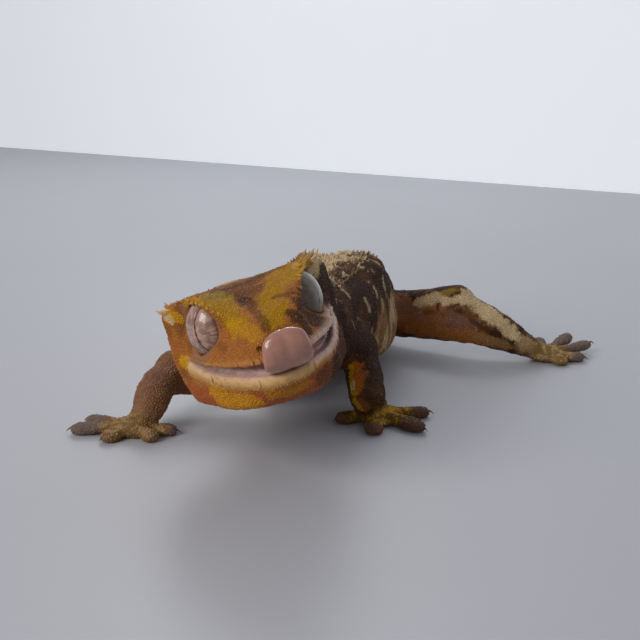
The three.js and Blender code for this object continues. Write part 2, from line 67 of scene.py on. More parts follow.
# Head lines from the snout's tip back to the neck: back, crown's height, then distance aside and height
# of crest, temple, upper lip, lower lip, groove under the lip and throat's edge, then throat's height
HEAD = [
    [-15.9, -2.9, 0.7, -3.0, 1.1, -3.3, 1.3, -3.8, 1.2, -6.1, 0.9, -6.6, 0.6, -6.9, -7.0],
    [-15.2, -1.4, 1.8, -1.5, 2.4, -2.3, 2.7, -3.6, 2.7, -6.3, 2.2, -7.5, 1.5, -8.1, -8.3],
    [-14.0, -0.1, 2.8, -0.2, 3.6, -1.6, 4.1, -3.5, 4.1, -6.4, 3.6, -8.0, 2.5, -9.0, -9.4],
    [-12.2, 1.1, 3.9, 1.1, 4.6, -1.1, 5.6, -3.5, 5.5, -6.4, 5.0, -8.2, 3.7, -9.9, -10.4],
    [-9.5, 2.2, 5.1, 2.5, 5.5, -0.7, 7.3, -3.5, 7.2, -6.4, 6.8, -8.3, 5.4, -10.7, -11.4],
    [-5.0, 3.7, 7.0, 4.3, 5.7, 0.3, 9.2, -3.5, 9.2, -6.3, 9.0, -8.4, 7.6, -11.1, -11.9],
    [0.0, 4.6, 8.8, 5.0, 7.0, 0.5, 10.4, -3.6, 10.5, -6.3, 10.6, -8.5, 9.2, -11.3, -12.0],
    [5.0, 4.5, 11.0, 4.3, 11.7, 0.8, 11.6, -3.7, 11.9, -6.3, 12.2, -8.7, 10.6, -11.3, -11.8],
    [9.0, 3.8, 11.4, 3.3, 13.1, 0.2, 13.3, -3.7, 13.0, -6.1, 12.4, -8.3, 10.4, -10.6, -11.2],
    [13.0, 3.0, 8.6, 2.2, 10.8, -0.6, 10.9, -3.4, 10.4, -5.5, 9.6, -7.4, 7.8, -9.5, -10.1],
]

# Stations past each end of head and trunk: place back and share of the nearest outline
HEAD_ENDS = [(-16.2, 0.55), (-16.4, 0.0), (14.5, 0.86), (16.2, 0.55), (17.2, 0.0)]
TRUNK_ENDS = [(-4.5, 0.85), (-6.5, 0.45), (-7.5, 0.0), (54.5, 0.9), (57.0, 0.6), (59.0, 0.0)]

# Mouth in the head's frame: its ends along the back axis, the lips' edges, and how deep it goes
MOUTH_FRONT, MOUTH_CORNER = -19.0, 4.6
UPPER_LIP_Z, LOWER_LIP_FRONT_Z, LOWER_LIP_BACK_Z = -4.2, -6.0, -4.5
MOUTH_DEPTH, LIP_HANG = 1.5, 0.6

# Swellings along the upper and lower lip: height, place above the lip's edge, half width
LIP_SWELLS = [(0.22, 0.65, 0.55), (0.3, -0.95, 0.75)]

# Eyes, lids, nostrils, ears and the fold beside the left crest, in the head's frame
EYE_X = {1: 6.45, -1: -6.85}
EYE = {"y": -0.7, "z": 0.25, "radii": (4.05, 4.4, 3.45), "turn": 72.0, "lift": 0.06}
LID = {"out": 0.35, "across": 4.3, "thick": 0.5, "tinted": 5.1, "bare": 4.6}
CREST_FOLD = {"at": (9.8, 4.4, 4.0), "radii": (1.1, 2.8, 1.8), "turn": 12.0}
NOSTRIL = {"at": (2.4, -15.0, -2.0), "radius": 0.42, "rim": 0.8}
EAR = {"at": (12.9, 8.6, -1.4), "size": (0.9, 0.7, 1.7)}

# Tongue from inside the mouth up over the snout: x, y, z, half width, half thickness
TONGUE = [
    [0.5, -9.0, -5.2, 3.0, 0.5],
    [0.5, -13.2, -5.2, 3.1, 0.7],
    [0.5, -16.2, -4.7, 3.3, 0.9],
    [0.5, -17.3, -3.1, 3.3, 1.1],
    [0.6, -17.1, -1.3, 2.9, 1.0],
    [0.7, -16.5, -0.2, 2.1, 0.8],
]

# Trunk from the neck to the hips: back, aside, half width, top, bottom
TRUNK = [
    [-2.0, 0.0, 8.2, 24.6, 7.6],
    [5.0, 0.0, 9.2, 23.4, 5.2],
    [13.0, 0.2, 10.7, 22.6, 3.6],
    [22.0, 0.4, 11.8, 22.2, 2.8],
    [31.0, 0.5, 12.0, 21.7, 2.6],
    [39.0, 0.3, 10.9, 20.2, 3.0],
    [46.0, 0.1, 8.4, 17.8, 3.0],
    [52.0, 0.0, 6.2, 14.2, 2.2],
]
TRUNK_SQUARE_ABOVE, TRUNK_SQUARE_BELOW = 2.5, 2.3

# Soft forms of the trunk: the skin's fold along each flank and the rise over the stretched leg
TRUNK_FOLDS = [
    {"at": (9.8, 29.5, 7.2), "radii": (3.2, 10.5, 4.3)},
    {"at": (-9.8, 29.5, 7.2), "radii": (3.2, 10.5, 4.3)},
    {"at": (4.8, 28.0, 19.7), "radii": (5.8, 8.5, 2.7)},
]
BACK_DIP, BACK_DIP_WIDTH = 0.6, 3.6

# Tail: x, y, half width, bottom, top
TAIL = [
    [0.0, 52.0, 6.1, 2.2, 14.2],
    [0.0, 58.0, 4.7, 0.8, 10.2],
    [-0.3, 65.0, 3.9, 0.0, 7.6],
    [-2.8, 76.0, 3.2, -0.1, 6.0],
    [-8.4, 89.0, 2.7, -0.1, 5.0],
    [-14.4, 102.0, 2.2, -0.1, 4.1],
    [-17.8, 115.0, 1.7, -0.1, 3.1],
    [-17.4, 126.0, 1.6, -0.1, 2.0],
    [-15.8, 132.0, 1.2, -0.1, 1.4],
]

# Legs: lengths from root to end as x, y, z, half height, half thickness; palm; toe ends with lift
LEGS = {
    "arm_left": {
        "root": [[6.0, 0.5, 12.6, 3.4, 3.2], [8.2, 4.6, 11.4, 3.3, 3.1], [9.7, 8.0, 10.0, 3.0, 3.0]],
        "shaft": [[9.7, 7.4, 9.8, 2.4, 2.4], [11.1, 3.2, 6.8, 3.0, 3.1], [12.6, -2.0, 4.3, 2.6, 2.9]],
        "palm": (14.0, -0.8),
        "toes": [(7.6, -3.6, 0), (14.5, -8.0, 0), (22.4, -5.0, 0), (22.6, 3.0, 0), (13.2, 7.4, 0)],
    },
    "arm_right": {
        "root": [[-5.6, 2.4, 9.4, 4.8, 3.4], [-13.4, -0.8, 7.8, 4.6, 3.3], [-20.4, -3.8, 7.3, 3.8, 3.0]],
        "shaft": [[-20.6, -4.2, 7.4, 2.6, 2.5], [-21.8, -9.2, 6.0, 2.8, 2.8], [-21.7, -13.0, 3.8, 2.3, 2.6]],
        "palm": (-23.4, -14.9),
        "toes": [(-16.8, -13.8, 0), (-19.2, -17.6, 0), (-27.2, -19.4, 0), (-34.0, -16.6, 0),
                 (-33.2, -11.8, 0)],
    },
    "leg_left": {
        "root": [[6.0, 46.0, 6.8, 5.0, 4.2], [15.0, 42.6, 7.5, 4.9, 3.8], [25.0, 39.5, 8.9, 6.0, 3.4]],
        "shaft": [[24.6, 39.5, 8.8, 4.6, 2.6], [31.5, 38.6, 6.3, 4.0, 2.8], [38.0, 38.2, 3.5, 2.3, 2.3]],
        "palm": (41.6, 39.6),
        "toes": [(46.2, 36.8, 0), (50.0, 40.6, 0), (51.6, 47.4, 1.3), (47.4, 53.0, 1.2), (41.0, 51.8, 0)],
    },
    "leg_right": {
        "root": [[-6.0, 46.0, 8.2, 4.4, 4.0], [-13.6, 40.4, 8.4, 4.2, 3.6], [-20.0, 35.4, 8.6, 3.7, 3.2]],
        "shaft": [[-20.8, 35.8, 8.4, 3.4, 3.0], [-24.0, 40.2, 6.0, 2.7, 2.6], [-26.2, 44.6, 3.5, 2.1, 2.2]],
        "palm": (-28.2, 46.6),
        "toes": [(-27.4, 38.6, 0), (-35.4, 41.8, 0), (-37.0, 47.6, 0), (-34.6, 54.0, 0), (-29.6, 56.0, 0)],
    },
}

# Palms, heels, and toes from palm to tip: share of the way, height, half height, half thickness
PALM_RADII, PALM_Z, HEEL_HALF = (2.7, 2.7, 1.5), 1.35, 1.9
TOE = [[0.12, 1.5, 1.1, 1.3], [0.42, 1.2, 0.85, 0.9], [0.73, 0.9, 1.0, 1.45], [0.9, 0.85, 0.9, 1.2]]
CLAW = {"long": 1.45, "radius": 0.21, "z": 0.85, "drop": 0.5, "arch": 0.25, "root": -0.75}

# Neck in a round limb's rows: its end at the head is given in the head's frame
NAPE, NAPE_HALF = (0, 12.0, -3.7), (7.0, 10.0)
SHOULDERS, SHOULDERS_HALF = (0, 1.0, 16.0), (8.2, 8.0)
MID_NECK_HALF = (7.4, 8.6)

# Boxes that hold trunk and head, and how softly each form joins the others
TORSO_BOX = (np.array([-17.0, -12, -2]), np.array([17.0, 63, 30]))
HEAD_BOX = (np.array([-21.0, -46, 4]), np.array([19.0, -1, 42]))
BLEND = {"trunk": 1.0, "neck": 2.0, "head": 2.0, "fold": 2.2, "tail": 2.5, "root": 2.6, "shaft": 1.4,
         "heel": 1.0, "palm": 1.0, "toe": 0.7, "web": 0.6, "joint": 0.5}

# Grid of the skin along x, y and z: start, stop and the stretch between them with fine steps; then the
# step across the soles and the height at which they are cut flat
GRID = [(-40, 55, -16.5, 14.5), (-43, 136, -42, -8), (-1.2, 38, -1, 0.5)]
SOLE_STEP, SOLE_Z = 0.25, 0.02

# Lumps of the flesh: share, size and seed of each layer of noise
LUMPS = [(0.55, 2.3, 1), (0.3, 1.1, 2), (0.15, 0.6, 3)]

# Camera in the animal's frame
CAMERA_PLACE = np.array([36.22, -157.95, 60.0])
CAMERA_AHEAD = np.array([-0.1926, 0.9465, -0.2588])
CAMERA_LENS, CAMERA_SENSOR = 56.25, 36.0

# Two places of the floor's far edge, where the wall stands, and how far floor and wall run on
FLOOR_EDGE = [[-300.8, 448.3], [86.3, 298.2]]
EDGE_RUN = [560.0, -217.1]
FLOOR_NEAR, WALL_LOW, WALL_HIGH = -900.0, -300.0, 900.0

# Soft lights in metres: place, size and tint
LIGHT_AIM = (0, 0, 0.01)
WINDOW = {"place": (-0.05, 0.34, 0.24), "size": 0.26, "tint": (0.96, 0.98, 1.0)}
ROOM_LIGHT = {"place": (-0.24, -0.34, 0.24), "size": 0.2, "tint": (1.0, 0.96, 0.91)}
SKY_TINT = (0.93, 0.96, 1.0, 1)

FLESH = ["head", "lower_jaw", "neck", "torso", "tail_base", "tail_mid", "tail_tip"] + [
    f"{part}_{side}"
    for side in ("left", "right")
    for part in ("upper_arm", "forearm", "hand", "thigh", "shin", "foot")
]
UP = np.array([0.0, 0.0, 1.0])

# How far outside its form a field is still worked out
FAR = 4.0


def unit(vectors):
    """Vectors divided by their lengths."""
    return vectors / np.maximum(np.linalg.norm(vectors, axis=-1, keepdims=True), 1e-12)


def turned(axis, degrees):
    """The matrix that turns points about one axis of the frame."""
    return np.array(Matrix.Rotation(math.radians(degrees), 3, axis))


HEAD_TURN = turned("Z", HEAD_YAW) @ turned("X", -HEAD_PITCH) @ turned("Y", -HEAD_ROLL)


def from_head(points):
    """Points of the head's frame, in the animal's frame."""
    return np.asarray(points, float) @ HEAD_TURN.T + HEAD_CENTRE


def to_head(points):
    """Points of the animal's frame, in the head's frame."""
    return (points - HEAD_CENTRE) @ HEAD_TURN


def box_middle(node):
    """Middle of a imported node's box, in millimetres."""
    low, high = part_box(node)
    return np.array((low + high) / 2) * 1000


# How far the row's frame lies from the animal's: the left eye is the same ball in both
SHIFT = box_middle("eye_left") - from_head([EYE_X[1], EYE["y"], EYE["z"]])


def linear(code):
    """An sRGB hex colour as linear red, green and blue."""
    value = np.array([int(code[n:n + 2], 16) for n in (1, 3, 5)]) / 255
    bright = np.where(value <= 0.04045, value / 12.92, ((value + 0.055) / 1.055) ** 2.4)
    return tuple(float(v) for v in bright)


# Sizes and colours that a user may change

def colour_property(name, code, description):
    """A colour setting with its default given as sRGB hex."""
    return bpy.props.FloatVectorProperty(
        name=name, description=description, subtype="COLOR", size=3, min=0, max=1, default=linear(code))


def length_property(name, default, description):
    """A length setting in metres."""
    return bpy.props.FloatProperty(
        name=name, description=description, unit="LENGTH", default=default, min=0, precision=5)


class GeckoForm(bpy.types.PropertyGroup):
    body_step: length_property("Body step", 0.00053, "Distance between the skin's points on the body")
    face_step: length_property("Face step", 0.0003, "Distance between the skin's points on the head")
    relief: length_property("Relief", 0.00022, "Depth of the lumps of flesh under the scales")
    coat_depth: length_property("Coat depth", 0.00008, "How far the skin lies inside the solids")


class GeckoCoat(bpy.types.PropertyGroup):
    head_scale: length_property("Head scale", 0.00031, "Distance between the scales of the head")
    body_scale: length_property("Body scale", 0.00039, "Distance between the scales of the trunk")
    limb_scale: length_property("Limb scale", 0.00037, "Distance between the scales of the legs")
    tail_scale: length_property("Tail scale", 0.00043, "Distance between the scales of the tail")
    lip_scale: length_property("Lip scale", 0.00115, "Length of a scale along the lips")
    crest_spine: length_property("Crest spine", 0.0013, "Length of the tallest spine of the crest")
    spread: bpy.props.FloatProperty(
        name="Colour spread", description="How much neighbouring scales differ in brightness",
        default=0.2, min=0, max=1)


class GeckoColours(bpy.types.PropertyGroup):
    chocolate: colour_property("Chocolate", "#3f2212", "Dark sides, neck and upper legs")
    umber: colour_property("Umber", "#704418", "Top of the head and the shaded limbs")
    rust: colour_property("Rust", "#ab6a2e", "Snout, cheeks and the thighs' undersides")
    mustard: colour_property("Mustard", "#a87a00", "Patches of the forehead and the snout's bridge")
    # Painted light: the orange glow of light shining through the left front leg
    backlight_glow: colour_property("Amber", "#cf741a", "Glowing scales inside the left front leg")
    gold: colour_property("Gold", "#d0980e", "Bright scales of chin, wrists and cheeks")
    olive: colour_property("Olive", "#93782c", "Brows, feet and the top of the knee")
    cream: colour_property("Cream", "#d2b88e", "Band along the back, flecks and stripes of the legs")
    tan: colour_property("Tan", "#967048", "Rear flank and belly")
    mauve: colour_property("Mauve", "#8c6450", "Right front leg, eyelids and thighs")
    hazel: colour_property("Hazel", "#6a4a38", "Toe pads of the left front foot")
    slate: colour_property("Slate", "#77665c", "Toe pads of the other feet")
    brick: colour_property("Brick", "#a85a30", "Chin and throat")
    lip: colour_property("Lip", "#d0a566", "Band of the lips")
    flesh: colour_property("Flesh", "#8c5048", "Lining of the mouth")
    gum: colour_property("Gum", "#dcc0b8", "Wet edges of the lips and the gum behind the lower one")
    tongue: colour_property("Tongue", "#ab7d6c", "Tongue")
    iris: colour_property("Iris", "#b6907f", "Iris")
    iris_vein: colour_property("Iris vein", "#74574b", "Fine veins of the iris")
    eye_shade: colour_property("Shaded iris", "#484232", "Iris of the eye that is turned from the light")
    pupil: colour_property("Pupil", "#3a251c", "Slit pupil")
    claw: colour_property("Claw", "#4a382c", "Claws")


class GeckoStage(bpy.types.PropertyGroup):
    floor: colour_property("Floor", "#b3b4bb", "Pale board that the animal stands on")
    wall: colour_property("Wall", "#e3e6ea", "Paler wall behind it")
    window_power: bpy.props.FloatProperty(
        name="Window power", description="Soft light from behind and above", default=1.5, min=0, unit="POWER")
    room_power: bpy.props.FloatProperty(
        name="Room power", description="Soft light from in front and above", default=1.0, min=0, unit="POWER")
    wall_glow: bpy.props.FloatProperty(
        name="Wall glow", description="Light that comes through the wall's paper", default=0.46, min=0, max=5)
    sky: bpy.props.FloatProperty(
        name="Sky", description="Strength of the even light from all round", default=0.32, min=0, max=5)


def palette():
    """The colours in use, by name, as arrays."""
    group = bpy.context.scene.gecko_colours
    return {name: np.array(getattr(group, name)) for name in GeckoColours.__annotations__}


# Curves and noise

def rows_at(table, t):
    """Smooth rows of a table: the Catmull-Rom curve through its rows, t from 0 at the first to 1 at the
    last."""
    table = np.asarray(table, float)
    place = np.clip(np.asarray(t, float), 0, 1) * (len(table) - 1)
    k = np.minimum(place.astype(int), len(table) - 2)
    f = (place - k)[..., None]
    a, b, c, d = (table[np.clip(k + n, 0, len(table) - 1)] for n in (-1, 0, 1, 2))
    return b + 0.5 * f * (c - a + f * (2 * a - 5 * b + 4 * c - d + f * (3 * (b - c) + d - a)))


def closed_curve(corners, per_span):
    """Points of the closed Catmull-Rom curve through each outline's corners."""
    f = (np.arange(per_span) / per_span)[:, None]
    a, b, c, d = (np.roll(corners, n, axis=-2)[..., None, :] for n in (1, 0, -1, -2))
    curve = b + 0.5 * f * (c - a + f * (2 * a - 5 * b + 4 * c - d + f * (3 * (b - c) + d - a)))
    return curve.reshape(*corners.shape[:-2], -1, 2)


LATTICE_SIZE = 32
LATTICE = np.random.default_rng(SEED).random((LATTICE_SIZE,) * 3).astype(np.float32)


def noise(points, size, seed=0.0):
    """Smooth noise from 0 to 1: random values on a cubic lattice, eased from corner to corner."""
    place = np.asarray(points) / size + 7.31 * seed
    base = np.floor(place).astype(np.int32)
    f = place - base
    f = f * f * (3 - 2 * f)
    total = 0.0
    for corner in np.ndindex(2, 2, 2):
        k = (base + np.array(corner, np.int32)) % LATTICE_SIZE
        weight = np.prod(np.where(np.array(corner, bool), f, 1 - f), axis=-1)
        total = total + weight * LATTICE[k[..., 0], k[..., 1], k[..., 2]]
    return total


def eased(value):
    """0 below 0, 1 above 1, and a smooth step between."""
    value = np.clip(value, 0, 1)
    return value * value * (3 - 2 * value)


# Fields: each is below zero inside its form and about the distance in millimetres outside it

def smooth_min(a, b, blend):
    """The lower of two fields, with a fillet as wide as the blend where they meet."""
    h = np.maximum(blend - np.abs(a - b), 0) / blend
    return np.minimum(a, b) - h * h * blend / 4


def smooth_max(a, b, blend):
    """The higher of two fields, with the edge rounded."""
    return -smooth_min(-a, -b, blend)


def ellipsoid(local, radii):
    """Ellipsoid about the origin: k (k - 1) / m, k the length in radii and m that in radii squared."""
    k = np.linalg.norm(local / np.array(radii), axis=-1)
    m = np.linalg.norm(local / np.square(np.array(radii)), axis=-1)
    return k * (k - 1) / np.maximum(m, 1e-9)


TUBE_AROUND = 240


def tube_of(back, middle, outlines, ends):
    """A tube along the back axis: at each station, how far its outline stands from the middle in each
    direction round it, and how much the wall's slope shortens the true distance."""
    angles = np.linspace(0, 2 * np.pi, TUBE_AROUND, endpoint=False)
    radius = []
    for centre, outline in zip(middle, outlines):
        x, z = (outline - centre).T
        radius.append(np.interp(angles, np.arctan2(x, z), np.hypot(x, z), period=2 * np.pi))
    radius = np.array(radius)
    for place, share in ends:
        source, at = (0, 0) if place < back[0] else (-1, len(back))
        back = np.insert(back, at, place)
        middle = np.insert(middle, at, middle[source], axis=0)
        radius = np.insert(radius, at, radius[source] * share, axis=0)
    along = np.gradient(radius, back, axis=0)
    around = np.gradient(radius, angles, axis=1) / np.maximum(radius, 0.2)
    slope = 1 / np.sqrt(1 + along**2 + around**2)
    return {"back": back, "middle": middle, "radius": radius, "slope": slope}


def tube_field(tube, along, across, up):
    """Distance to a tube: radius minus the outline's radius that way, times the wall's slope, and past
    an end also the distance beyond it."""
    back = tube["back"]
    place = np.interp(along, back, np.arange(len(back)))
    k = np.minimum(place.astype(np.int32), len(back) - 2)
    f = place - k
    x = across - np.interp(along, back, tube["middle"][:, 0])
    z = up - np.interp(along, back, tube["middle"][:, 1])
    turn = (np.arctan2(x, z) / (2 * np.pi) % 1) * TUBE_AROUND
    n = turn.astype(np.int32)
    g = turn - n
    n %= TUBE_AROUND
    m = (n + 1) % TUBE_AROUND

    def read(table):
        low = table[k, n] * (1 - g) + table[k, m] * g
        high = table[k + 1, n] * (1 - g) + table[k + 1, m] * g
        return low * (1 - f) + high * f

    wall = (np.hypot(x, z) - read(tube["radius"])) * read(tube["slope"])
    beyond = np.maximum(back[0] - along, 0) + np.maximum(along - back[-1], 0)
    return np.where(beyond > 0, np.hypot(np.maximum(wall, 0), beyond), wall)


def stations(table, back):
    """Places of a table's smooth rows, from 0 to 1, that lie at given distances back."""
    return np.interp(back, [row[0] for row in table], np.linspace(0, 1, len(table)))


def head_tube():
    """The head's stations: the closed curve through crown, six points a side and throat."""
    rows = rows_at(HEAD, np.linspace(0, 1, 70))
    zero = np.zeros(len(rows))
    pairs = rows[:, 2:14].reshape(-1, 6, 2)
    crown = np.stack([zero, rows[:, 1]], 1)[:, None]
    throat = np.stack([zero, rows[:, 14]], 1)[:, None]
    corners = np.concatenate([crown, pairs, throat, pairs[:, ::-1] * (-1, 1)], 1)
    middle = np.stack([zero, (rows[:, 1] + rows[:, 14]) / 2], 1)
    return tube_of(rows[:, 0], middle, closed_curve(corners, 16), HEAD_ENDS)


def trunk_outline(rows, around):
    """Superellipse of each row, squarer above than below, with a shallow dip along the back."""
    angle = np.linspace(0, 2 * np.pi, around, endpoint=False)
    c, s = np.cos(angle), np.sin(angle)
    back, aside, half, top, bottom = (column[:, None] for column in rows.T)
    power = 2 / np.where(s > 0, TRUNK_SQUARE_ABOVE, TRUNK_SQUARE_BELOW)
    x = half * np.sign(c) * np.abs(c) ** power
    dip = np.where(s > 0, BACK_DIP * s * np.exp(-((x / BACK_DIP_WIDTH) ** 2)), 0)
    z = (top + bottom) / 2 + (top - bottom) / 2 * np.sign(s) * np.abs(s) ** power - dip
    return np.stack([x + aside, z], -1)


def trunk_tube():
    """The trunk's stations from the neck to the hips."""
    rows = rows_at(TRUNK, np.linspace(0, 1, 60))
    middle = np.stack([rows[:, 1], (rows[:, 3] + rows[:, 4]) / 2], 1)
    return tube_of(rows[:, 0], middle, trunk_outline(rows, TUBE_AROUND), TRUNK_ENDS)


HEAD_TUBE = head_tube()
TRUNK_TUBE = trunk_tube()


def head_shell(points):
    """The head without its openings."""
    local = to_head(points)
    return tube_field(HEAD_TUBE, local[..., 1], local[..., 0], local[..., 2])


def trunk_shell(points):
    """The trunk."""
    return tube_field(TRUNK_TUBE, points[..., 1], points[..., 0], points[..., 2])


def limb_field(points, rows):
    """Round limb: on each stretch of its middle line an ellipse whose half height and half thickness
    run evenly from joint to joint, its ends rounded, and the stretches joined smoothly."""
    total = None
    for a, b in zip(rows[:-1], rows[1:]):
        length = np.linalg.norm(b[:3] - a[:3])
        ahead = (b[:3] - a[:3]) / length
        side = unit(np.cross(ahead, UP))
        lift = np.cross(side, ahead)
        q = points - a[:3]
        s = q @ ahead
        t = np.clip(s / length, 0, 1)
        high = a[3] + t * (b[3] - a[3])
        thick = a[4] + t * (b[4] - a[4])
        end = np.minimum(high, thick)
        parts = np.stack([q @ side, q @ lift, s - t * length], -1)
        radii = np.stack([thick, high, end], -1)
        k = np.linalg.norm(parts / radii, axis=-1)
        m = np.linalg.norm(parts / radii**2, axis=-1)
        d = k * (k - 1) / np.maximum(m, 1e-9)
        total = d if total is None else smooth_min(total, d, BLEND["joint"])
    return total


def limb_form(name, table, joints, blend):
    """A limb's name, box, field and blend, for the grid."""
    rows = rows_at(table, np.linspace(0, 1, joints))
    reach = rows[:, 3:].max() + FAR
    low, high = rows[:, :3].min(0) - reach, rows[:, :3].max(0) + reach
    return name, low, high, lambda p: limb_field(p, rows), blend


def round_form(name, place, radii, blend):
    """An ellipsoid's name, box, field and blend, for the grid."""
    place, radii = np.array(place), np.array(radii)
    reach = radii + FAR
    return name, place - reach, place + reach, lambda p: ellipsoid(p - place, radii), blend


def toe_rows(palm, toe):
    """Rows of a toe from the palm to its tip, widening into a pad."""
    x, y, lift = toe
    table = np.array(TOE)
    share = table[:, :1]
    flat = np.array(palm) + share * (np.array([x, y]) - palm)
    return np.hstack([flat, table[:, 1:2] + lift * share**2, table[:, 2:]])


def web_rows(palm, one, two):
    """Rows of the web between two toes: low and flat, along the line between them."""
    palm = np.array(palm)
    reach = (np.array(one[:2]) + np.array(two[:2])) / 2 - palm
    return [[*(palm + 0.2 * reach), 0.9, 0.7, 1.5], [*(palm + 0.5 * reach), 0.7, 0.45, 0.9]]


def body_forms():
    """Every form of the flesh: name of its region, box, field and blend."""
    nape, shoulders = from_head(NAPE), np.array(SHOULDERS)
    neck = [[*nape, *NAPE_HALF], [*((nape + shoulders) / 2), *MID_NECK_HALF], [*shoulders, *SHOULDERS_HALF]]
    forms = [
        ("torso", *TORSO_BOX, trunk_shell, BLEND["trunk"]),
        limb_form("neck", neck, 4, BLEND["neck"]),
        ("head", *HEAD_BOX, head_shell, BLEND["head"]),
    ]
    forms += [round_form("torso", fold["at"], fold["radii"], BLEND["fold"]) for fold in TRUNK_FOLDS]
    tail = [[x, y, (low + high) / 2, (high - low) / 2, half] for x, y, half, low, high in TAIL]
    forms.append(limb_form("tail", tail, 26, BLEND["tail"]))
    for name, leg in LEGS.items():
        foot = name.replace("arm", "hand").replace("leg", "foot")
        palm, wrist = leg["palm"], leg["shaft"][-1][:3]
        heel = [[*wrist, HEEL_HALF, HEEL_HALF], [*palm, PALM_Z + 0.4, PALM_RADII[2], HEEL_HALF]]
        forms += [
            limb_form(name, leg["root"], 6, BLEND["root"]),
            limb_form(name, leg["shaft"], 6, BLEND["shaft"]),
            limb_form(foot, heel, 3, BLEND["heel"]),
            round_form(foot, (*palm, PALM_Z), PALM_RADII, BLEND["palm"]),
        ]
        forms += [limb_form(foot, toe_rows(palm, toe), 6, BLEND["toe"]) for toe in leg["toes"]]
        for one, two in zip(leg["toes"][:-1], leg["toes"][1:]):
            forms.append(limb_form(foot, web_rows(palm, one, two), 2, BLEND["web"]))
    return forms


def eye_axes(sign):
    """Rows along, up and out of one eye: out points aside and a little forward."""
    turn = math.radians(EYE["turn"])
    out = unit(np.array([sign * math.sin(turn), -math.cos(turn), EYE["lift"]]))
    up = unit(UP - out[2] * out)
    return np.array([np.cross(up, out), up, out])


def in_eye(local, sign):
    """Points of the head's frame, along, up and out of one eye."""
    return (local - np.array([EYE_X[sign], EYE["y"], EYE["z"]])) @ eye_axes(sign).T


def lid_place(eye):
    """How far points stand from the eye's outward axis, its greater height pressed to its length."""
    across, high, _ = EYE["radii"]
    return np.hypot(eye[..., 0], eye[..., 1] * across / high)


def lips(local):
    """Heights of the upper and lower lips' edges beside each point; the lower one hangs on the left."""
    share = (local[..., 1] - MOUTH_FRONT) / (MOUTH_CORNER - MOUTH_FRONT)
    hang = LIP_HANG * eased((local[..., 0] - 3) / 4) * 4 * np.maximum(share * (1 - share), 0)
    return UPPER_LIP_Z, LOWER_LIP_FRONT_Z + share * (LOWER_LIP_BACK_Z - LOWER_LIP_FRONT_Z) - hang


def mouth_gap(local):
    """The wedge between the lips, closed at the mouth's corner."""
    upper, lower = lips(local)
    z = local[..., 2]
    return np.maximum(np.maximum(z - upper, lower - z), local[..., 1] - MOUTH_CORNER)


def head_details(field, points):
    """Adds the lips, the fold at the crest, lids and nostril rims to the head, and cuts its mouth,
    sockets, nostrils and ears."""
    local = to_head(points)
    shell = head_shell(points)
    near = eased((MOUTH_CORNER + 1.5 - local[..., 1]) / 3) * eased(2 - np.abs(shell))
    swell = sum(high * np.exp(-(((local[..., 2] - edge - above) / half) ** 2))
                for edge, (high, above, half) in zip(lips(local), LIP_SWELLS))
    field = field - swell * near
    fold = (local - np.array(CREST_FOLD["at"])) @ turned("Z", CREST_FOLD["turn"])
    field = smooth_min(field, ellipsoid(fold, CREST_FOLD["radii"]), 0.9)
    for sign in (-1, 1):
        eye = in_eye(local, sign)
        ring = np.hypot(lid_place(eye) - LID["across"], eye[..., 2] - LID["out"]) - LID["thick"]
        field = smooth_min(field, ring, 0.7)
        ball = ellipsoid(eye, EYE["radii"])
        field = smooth_max(field, 0.1 - ball, 0.2)
        nose = np.linalg.norm(local - np.array(NOSTRIL["at"]) * (sign, 1, 1), axis=-1)
        field = smooth_min(field, nose - NOSTRIL["rim"], 0.6)
        field = smooth_max(field, NOSTRIL["radius"] - nose, 0.2)
        ear = ellipsoid(local - np.array(EAR["at"]) * (sign, 1, 1), EAR["size"])
        field = smooth_max(field, -ear, 0.4)
    cavity = np.maximum(mouth_gap(local), -(shell + MOUTH_DEPTH))
    return smooth_max(field, -cavity, 0.5)


# The skin's grid

def graded(start, stop, fine_start, fine_stop, coarse, fine):
    """Grid lines that stand close together between two of them and wider apart outside."""
    return np.concatenate([
        np.arange(start, fine_start - coarse / 2, coarse),
        np.arange(fine_start, fine_stop, fine),
        np.arange(fine_stop, stop + coarse, coarse),
    ])


def block(axes, low, high):
    """The part of the grid inside a box: its slices and its points."""
    slices = tuple(slice(*np.searchsorted(line, ends)) for line, ends in zip(axes, zip(low, high)))
    lines = [line[part] for line, part in zip(axes, slices)]
    return slices, np.stack(np.meshgrid(*lines, indexing="ij"), -1).astype(np.float32)


def body_field(form):
    """The whole flesh on the grid: every form joined to the others, the head's details, lumps of
    noise and the neck's folds near the surface, and flat soles at the floor."""
    coarse, fine = form.body_step * 1000, form.face_step * 1000
    steps = [(coarse, fine), (coarse, fine), (coarse * 0.8, SOLE_STEP)]
    axes = [graded(*stretch, *step) for stretch, step in zip(GRID, steps)]
    field = np.full([len(line) for line in axes], FAR, np.float32)
    for _, low, high, distance, blend in body_forms():
        part, points = block(axes, low, high)
        field[part] = smooth_min(field[part], distance(points), blend)
    part, points = block(axes, *HEAD_BOX)
    field[part] = head_details(field[part], points)
    shallow = np.abs(field) < 1.2
    index = np.nonzero(shallow)
    points = np.stack([line[k] for line, k in zip(axes, index)], -1)
    lumps = sum(share * noise(points, size, seed) for share, size, seed in LUMPS) - 0.5
    neck = np.exp(-(((points[:, 1] + 6.0) / 6.0) ** 2))
    folds = (0.6 - np.abs(2 * noise(points * (0.3, 1, 0.3), 1.7, 17) - 1)) * neck
    field[index] += form.coat_depth * 1000 - 2 * form.relief * 1000 * (lumps + 0.7 * folds)
    sole = SOLE_Z - axes[2]
    return np.maximum(field, sole[None, None, :]), axes


CORNERS = np.array(list(np.ndindex(2, 2, 2)))
EDGES = [
    (a, b) for a in range(8) for b in range(a + 1, 8) if np.abs(CORNERS[a] - CORNERS[b]).sum() == 1]


